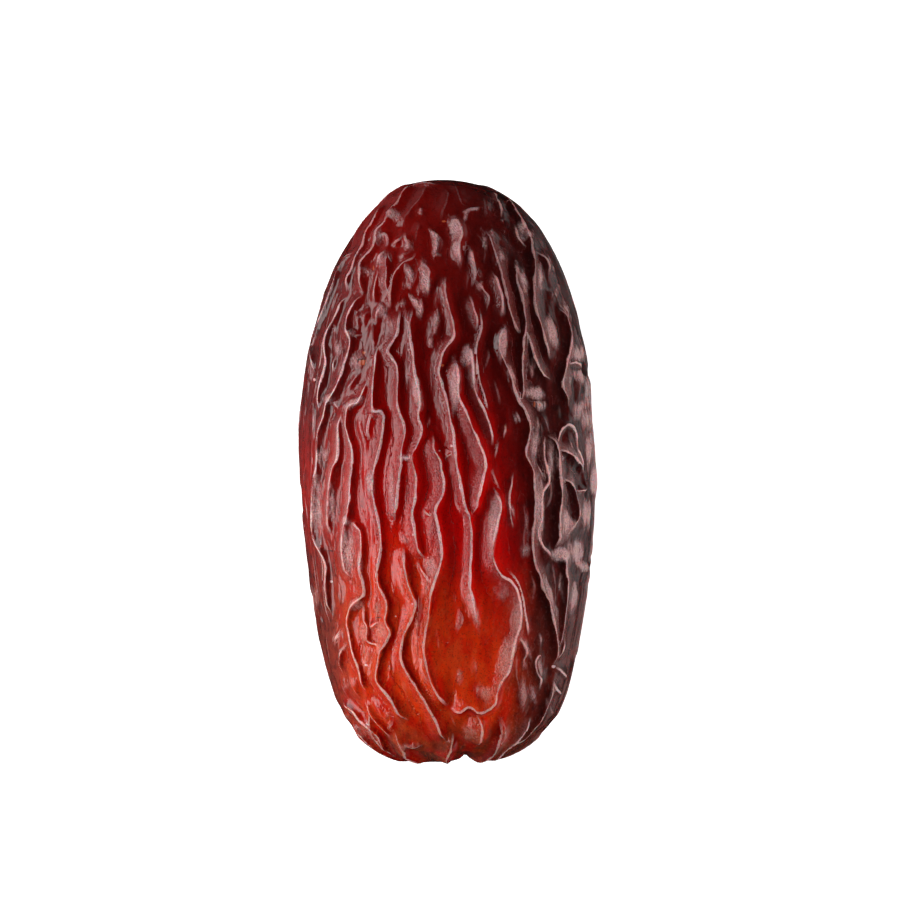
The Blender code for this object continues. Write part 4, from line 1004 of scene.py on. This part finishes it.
def relief(points, normals):
    """Height of the skin over the smooth body, and what its finish reads at each point.

    The finish reads the distance to the strongest ridge, with and without its sign, how pale
    that ridge is, which sets the light and shade painted along it, how far its broad side
    reaches, and how dry the skin is, where sheen is also painted.
    """
    drawn = TIP_RIDGES + LEFT_RIDGES + MIDDLE_RIDGES + RIGHT_RIDGES + BLUNT_RIDGES
    ridges = []
    for style, *places in drawn + FINE_RIDGES:
        flat = smooth_line(places)
        ridges.append((lift(flat[:, 0], flat[:, 1], TOPS), style))
    rng = random.Random(UNDER_SEED)
    total = np.zeros(len(points))
    strongest = np.zeros(len(points))
    read = {"across": np.full(len(points), -REACH), "away": np.full(len(points), REACH),
            "pale": np.zeros(len(points)), "spread": np.ones(len(points))}
    for line, style in ridges + underside_ridges(rng) + end_ridges(rng) + rim_ridges(rng):
        near, height, across, ends = ridge(points, normals, line, style)
        total[near] += height ** BLEND_POWER
        pull = (height + PULL) * np.exp(-np.abs(across) / PULL_REACH)
        ahead = pull > strongest[near]
        won = near[ahead]
        strongest[won] = pull[ahead]
        read["across"][won] = across[ahead]
        read["away"][won] = np.abs(across[ahead])
        read["pale"][won] = style[3] * ends[ahead]
        read["spread"][won] = max(style[1:3])
    total = total ** (1 / BLEND_POWER)
    facing = fade(np.abs(normals[:, 2]) / RIM_FACING)
    total = total * (RIM_HEIGHT + (1 - RIM_HEIGHT) * facing) + grain(points)
    for x, y, radius, height in SWELLS:
        total += swell(points, top_point(x, y), radius, height)
    read["patch"] = dry_and_sheen_patches(points)
    total += read["patch"] * PATCH_HEIGHT
    x, z, radius, height = SCAR
    total += swell(points, blunt_point(np.array([x]), np.array([z])), radius, height)
    notch = smooth_line(blunt_point(*np.array(NOTCH).T))
    near, depth, _, _ = ridge(points, normals, notch, NOTCH_STYLE)
    total[near] -= depth
    return total, read


def cube_grid(across, along):
    """A cube whose faces are cut into a grid, finer along Y, as a bmesh."""
    bm = bmesh.new()
    bmesh.ops.create_cube(bm, size=CUBE_SIDE)
    for axis, cells in ((0, across), (1, along), (2, across)):
        edges = [edge for edge in bm.edges
                 if abs((edge.verts[0].co - edge.verts[1].co)[axis]) > 0.95 * CUBE_SIDE]
        bmesh.ops.subdivide_edges(bm, edges=edges, cuts=cells - 1, use_grid_fill=True)
    return bm


def wrap_round_body(points):
    """Carry the points of the cube onto the smooth body, evenly along its length."""
    points = np.tan(points * (np.pi / 4))
    points /= np.linalg.norm(points, axis=1, keepdims=True)
    stations = -HALF_LENGTH * np.cos(np.linspace(0.0, np.pi, STATIONS))
    shares = girth(stations)
    steps = np.hypot(np.diff(stations), HALF_WIDTH * np.diff(shares))
    run = np.concatenate([[0.0], np.cumsum(steps)])
    place = run[-1] * (1 - np.arccos(np.clip(points[:, 1], -1.0, 1.0)) / np.pi)
    angle = np.arctan2(points[:, 0], points[:, 2])
    return body_point(angle, np.interp(place, run, stations), np.interp(place, run, shares))


def read_points(mesh):
    """The mesh's vertices and their normals as arrays."""
    points = np.empty(3 * len(mesh.vertices))
    normals = np.empty(3 * len(mesh.vertices))
    mesh.vertices.foreach_get("co", points)
    mesh.vertex_normals.foreach_get("vector", normals)
    return points.reshape(-1, 3), normals.reshape(-1, 3)


def write_points(mesh, points):
    """Move the mesh's vertices to the points."""
    mesh.vertices.foreach_set("co", points.astype(np.float32).ravel())
    mesh.update()


def fit_to_frame(points):
    """Bring the skin into the box of the solid that it stands for, with its foot flat."""
    points[points[:, 2] < PRESSED, 2] = 0.0
    low, high = points.min(axis=0), points.max(axis=0)
    scale = (np.array(CAD_HIGH) - np.array(CAD_LOW)) / (high - low)
    return np.array(CAD_LOW) + (points - low) * scale


def sway(amounts, *noises):
    """Sum of noises about zero, each by its amount."""
    return sum((noise - 0.5) * amount for noise, amount in zip(noises, amounts))


def skin_finish(settings):
    """Glossy skin over red flesh: colour by place with painted glow of the flesh, paler crests with
    painted highlights, painted sheen on their banks, painted shade beside them, pores and fine
    creases.
    """
    skin = Finish("date_skin")
    x, y, _ = skin.axes(skin.place, 1.0 / MM)
    across, pale = skin.attribute("across"), skin.attribute("pale")
    patch = skin.attribute("patch")
    blotch = skin.noise(*BLOTCH) - 0.5
    streak, fine, pores = skin.noise(*STREAK), skin.noise(*FINE), skin.noise(*PORES)
    worn, patchy = skin.noise(*WORN), skin.noise(*PATCHY)
    mottle, flecks, speckle = skin.noise(*MOTTLE), skin.noise(*FLECKS), skin.noise(*SPECKLE)

    # What a ridge paints on the skin beside it, each 1 where it is at its strongest: a highlight
    # along its crest, partly pale dry skin, sheen on its broad side, glow of the flesh in the
    # middle and shade on the flanks on its steep side, and shade in its crease. Then the dry
    # patches, partly painted sheen
    # The painted highlight along the crest, partly pale dry skin
    width = (worn.step(*LINE_THINNED) * 0.6 + 0.4) * LINE_WIDTH
    wavy = across - LINE_PLACE + sway(LINE_SHIFT, worn, fine)
    line = (wavy * wavy / (width * width)).step(*LINE_EDGE)
    line = line * skin.attribute("away").step(*NEAR_CREST) * pale * worn.step(*LINE_WORN)
    # The painted sheen on the ridge's broad side
    ragged = across + sway(BANK_SHIFT, fine, patchy)
    bank = wavy.step(*BANK_EDGE) * (1 - ragged / (skin.attribute("spread") * BANK_REACH))
    bank = (bank * BANK_GAIN).clamped()
    bank = bank * bank * pale * (patchy.step(*BANK_WORN) * 0.5 + 0.5)
    # Dry patches, partly pale dry skin and partly painted sheen
    dry = patch * PATCH_GAIN + sway(PATCH_SHIFT, fine, patchy)
    dry = dry.step(*PATCH_EDGE) * patch.step(*PATCH_LIMIT)
    # The steep side of a crest: painted glow of the flesh in the middle, painted shade on the
    # flanks
    steep = across.step(*CLEAR_SIDE) * (0.0 - across).step(*CLEAR_EDGE) * pale
    # Painted shade in the crease close to the crest
    crease_shade = across.step(*CREASE_SHADE_SIDE) * (0.0 - across).step(*CREASE_SHADE_EDGE) * pale

    def zone(place, shift, start, full):
        """1 where a place, shifted by the blotches, is well inside a zone, and 0 outside."""
        return (place + blotch * shift).step(start, full)

    off_bow = y - RIGHT_BOW[0]
    right = zone(x + off_bow * off_bow * RIGHT_BOW[1], *RIGHT_ZONE)
    dusk = zone(x + y * DUSK_LEAN, *DUSK_ZONE)
    left = zone(0.0 - x, *LEFT_ZONE)
    far_right = zone(x - y * FAR_RIGHT_LEAN, *FAR_RIGHT_ZONE)
    middle_glow = zone(y, *MIDDLE_ZONE)
    left_glow = zone(y, *LEFT_GLOW_ZONE)
    low_glow = zone(y + x.step(*LOW_DROP[0]) * LOW_DROP[1], *LOW_ZONE)
    rim = zone(y, *BLUNT_ZONE)
    high = y.step(*HIGH)
    flanks = (left + right).clamped()
    low_flesh = low_glow * (1 - right)
    low_middle = low_flesh * (1 - left)
    # How much painted glow of the flesh shows on the steep side of a crest
    glowing = (1 - right) * (1 - dusk * 0.5) * (1 - left * 0.6) * (middle_glow * 0.7 + 0.1)
    faded = (1 - low_glow * 0.6) * (1 - high * (left * 0.3 + 0.35))
    grainy = pores.step(0.62, 0.4)

    flank = skin.mix(left_glow, settings.mauve, settings.ruddy)
    flank = skin.mix(low_glow, flank, settings.tawny)
    # Colours of the painted sheen on the banks, also used for the flecks
    bank_sheen_and_fleck_color = skin.cover(skin.mix(low_glow, settings.bank, settings.low_bank_sheen_and_mottle), [
        (left * left_glow * (1 - low_glow), settings.left_bank_sheen),
        (right, settings.right_bank_sheen),
        # Brighter painted sheen on the banks of the far right
        (right * far_right * 0.45, settings.right_crest_highlight),
    ])
    # Colour of the painted highlight along the crests
    crest_highlight_color = skin.mix(low_glow, settings.crest, settings.low_crest_highlight)
    crest_highlight_color = skin.mix(right, crest_highlight_color, settings.right_crest_highlight)
    dry_and_sheen_color = skin.mix(0.55, bank_sheen_and_fleck_color, crest_highlight_color)
    nibble = (pores - 0.5) * SPOT_RAGGED

    # Each layer: how far it covers those before it, and its colour
    # The deep red of the upper middle turns into painted glow of light shining through the flesh
    # towards the middle
    color = skin.cover(skin.mix(middle_glow, settings.deep, settings.flesh), [
        # Painted glow of light shining through the flesh of the lower middle
        (low_glow, settings.glow),
        (high * high * 0.35, settings.ruddy),
        (left, flank),
        (dusk * 0.65, settings.brown),
        (right, settings.brown),
        (right * low_glow * 0.35, settings.tawny),
        (rim, settings.rim),
        (streak.step(0.4, 0.8) * 0.3, settings.mauve),
        # Painted glow on the steep side of a crest, where light shines through the flesh
        (steep * glowing, settings.clear),
        # Painted shade in the crease close to the crest, in the deep red
        (crease_shade * low_flesh * 0.75, settings.deep),
        # Painted shade on the steep side of a flank's crest
        (steep * flanks * 0.6, settings.shade_and_dark_marks),
        (mottle.step(0.48, 0.72) * (flanks * 0.4 + 0.15), settings.shade_and_dark_marks),
        (patchy.step(0.45, 0.65) * low_middle * 0.4, settings.low_bank_sheen_and_mottle),
        (worn.step(0.48, 0.68) * low_middle * 0.65, settings.clear),
        # Painted sheen on the broad side of a ridge
        (bank * (grainy * 0.4 + 0.55) * faded, bank_sheen_and_fleck_color),
        (flecks.step(0.54, 0.7) * (low_middle * 0.45 + 0.04), bank_sheen_and_fleck_color),
        # Dry patches, partly pale dry skin and partly painted sheen
        (dry * (grainy * 0.3 + 0.55) * (1 - low_glow * 0.3), dry_and_sheen_color),
        # Painted highlight along the crest, partly pale dry skin
        (line * (grainy * 0.2 + 0.8) * (1 - high * 0.4), crest_highlight_color),
        (speckle.step(0.52, 0.75) * 0.5, settings.shade_and_dark_marks),
        (skin.spots(EMBER_SPOTS, nibble) * 0.75, settings.ember),
        (skin.spots(DARK_SPOTS, nibble) * 0.8, settings.shade_and_dark_marks),
        (skin.spots(PALE_SPOTS, nibble) * 0.7, settings.crest),
    ])

    rough = (bank + dry * 1.2).clamped()
    height = streak * (rough * 0.25 + 0.2) + fine * (rough * 0.35 + 0.1) + pores * rough * 0.5
    skin.dress({
        "Base Color": color,
        "Roughness": (fine - 0.5) * 0.15 + rough * 0.16 + line * 0.2 + settings.roughness,
        "Normal": skin.add("Bump", {}, {"Strength": BUMP_STRENGTH, "Distance": BUMP_DEPTH * MM,
                                        "Height": height}),
        "IOR": SKIN_IOR,
        "Specular IOR Level": SKIN_SPECULAR,
        "Subsurface Weight": FLESH_SHARE,
        "Subsurface Radius": FLESH_RADII,
        "Subsurface Scale": FLESH_DEPTH * MM,
    })
    return skin.material


def floor_finish():
    """Plain pale floor."""
    floor = Finish("pale_floor")
    floor.dress({
        "Base Color": floor.mix(floor.noise(*FLOOR_GRAIN), FLOOR_PALE, FLOOR_PALEST),
        "Roughness": FLOOR_ROUGHNESS,
        "Emission Color": (1.0, 1.0, 1.0),
        "Emission Strength": 1.0,
    })
    return floor.material


class DATE_OT_skin(bpy.types.Operator):
    """Build the date's wrinkled skin in place of its plain solid"""

    bl_idname = "date.skin"
    bl_label = "Wrinkled skin"

    def execute(self, context):
        settings = context.scene.date_body
        coarse = 1
        mesh = bpy.data.meshes.new("skin_grid")
        bm = cube_grid(settings.cells_across // coarse, settings.cells_along // coarse)
        bm.to_mesh(mesh)
        bm.free()
        points, _ = read_points(mesh)
        write_points(mesh, wrap_round_body(points))
        points, normals = read_points(mesh)
        height, read = relief(points, normals)
        write_points(mesh, fit_to_frame(points + normals * height[:, None]))
        for name, values in read.items():
            held = mesh.attributes.new(name, "FLOAT", "POINT")
            held.data.foreach_set("value", values.astype(np.float32))

        skin = bpy.data.objects.new("date_skin", mesh)
        context.scene.collection.objects.link(skin)
        triangles = 2 * len(mesh.polygons)
        if triangles > settings.triangles:
            thin_out = skin.modifiers.new("thin_out", "DECIMATE")
            thin_out.ratio = settings.triangles / triangles
            seen = skin.evaluated_get(context.evaluated_depsgraph_get())
            thinned = bpy.data.meshes.new_from_object(seen)
            skin.modifiers.clear()
            skin.data = thinned
            bpy.data.meshes.remove(mesh)
        points, _ = read_points(skin.data)
        write_points(skin.data, np.clip(points, CAD_LOW, CAD_HIGH))
        skin.data.shade_smooth()
        skin.data.materials.append(skin_finish(context.scene.date_skin))
        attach(skin, "root")
        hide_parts("medjool_date")
        return {"FINISHED"}


def area_light(name, place, size, power):
    """A rectangular area light that looks at the middle of the fruit."""
    light = bpy.data.lights.new(name, "AREA")
    light.shape = "RECTANGLE"
    light.size, light.size_y = size
    light.energy = power
    lamp = bpy.data.objects.new(name, light)
    bpy.context.scene.collection.objects.link(lamp)
    lamp.location = place
    sight = Vector((0.0, 0.0, AXIS_HEIGHT * MM)) - Vector(place)
    lamp.rotation_euler = sight.to_track_quat("-Z", "Y").to_euler()
    return lamp


def studio_world():
    """Dark overhead, with the glow of a white table below the horizon."""
    world = bpy.data.worlds.new("studio")
    world.use_nodes = True
    nodes = Nodes(world.node_tree)
    across, _, up = nodes.axes(nodes.add("TexCoord", out="Generated"))
    glow = 0.0
    for side, (beside, above, strength) in ((0.0 - across, WORLD_LEFT), (across, WORLD_RIGHT)):
        glow = side.step(*beside) * up.step(*above) * strength + glow
    back = world.node_tree.nodes["Background"]
    nodes.feed(back.inputs["Color"], (1.0, 1.0, 1.0))
    nodes.feed(back.inputs["Strength"], glow * up.step(*WORLD_BELOW) + WORLD_DIM)
    return world


class DATE_OT_stage(bpy.types.Operator):
    """Add the camera, the pale floor and the soft studio lights"""

    bl_idname = "date.stage"
    bl_label = "Studio"

    def execute(self, context):
        settings = context.scene.date_stage
        scene = context.scene
        axis = Vector((EYE[0], EYE[1], AXIS_HEIGHT)) * MM
        camera = bpy.data.cameras.new("camera")
        camera.clip_start = CLIP_START
        distance = EYE[2] * MM - axis.z
        camera.lens = camera.sensor_width * distance / settings.view_width
        seer = bpy.data.objects.new("camera", camera)
        scene.collection.objects.link(seer)
        seer.location = (axis.x, axis.y, EYE[2] * MM)
        scene.camera = seer

        bm = bmesh.new()
        bmesh.ops.create_circle(bm, cap_ends=True, radius=settings.floor_radius,
                                segments=FLOOR_CORNERS)
        mesh = bpy.data.meshes.new("floor")
        bm.to_mesh(mesh)
        bm.free()
        floor = bpy.data.objects.new("floor", mesh)
        scene.collection.objects.link(floor)
        floor.data.materials.append(floor_finish())
        floor.visible_glossy = False
        floor.visible_diffuse = False
        floor.visible_shadow = False

        area_light("left_light", *LEFT_LIGHT, settings.left_power)
        for lamp in (area_light("right_light", *RIGHT_LIGHT, settings.right_power),
                     area_light("fill_light", *FILL_LIGHT, settings.fill_power)):
            lamp.visible_glossy = False
        scene.world = studio_world()
        scene.view_settings.view_transform = "Standard"
        return {"FINISHED"}


class DATE_PT_panel(bpy.types.Panel):
    """Lists the date's operators and settings"""

    bl_idname = "DATE_PT_panel"
    bl_label = "Medjool date"
    bl_space_type = "VIEW_3D"
    bl_region_type = "UI"
    bl_category = "Date"

    def draw(self, context):
        for operator, groups in OPERATORS.items():
            box = self.layout.box()
            box.operator(operator.bl_idname)
            for group in groups:
                for name in SETTINGS[group].__annotations__:
                    box.prop(getattr(context.scene, group), name)


SETTINGS = {"date_body": DateBody, "date_skin": DateSkin, "date_stage": DateStage}
OPERATORS = {DATE_OT_skin: ("date_body", "date_skin"), DATE_OT_stage: ("date_stage",)}
CLASSES = [*SETTINGS.values(), *OPERATORS, DATE_PT_panel]


def register():
    """Register the classes and hang the settings on the scene."""
    for item in CLASSES:
        bpy.utils.register_class(item)
    for name, group in SETTINGS.items():
        setattr(bpy.types.Scene, name, PointerProperty(type=group))


def unregister():
    """Take the settings and the classes away again."""
    for name in SETTINGS:
        delattr(bpy.types.Scene, name)
    for item in reversed(CLASSES):
        bpy.utils.unregister_class(item)


def main():
    """Build the date and its studio."""
    register()
    bpy.ops.date.skin()
    bpy.ops.date.stage()


if __name__ == "__main__":
    main()
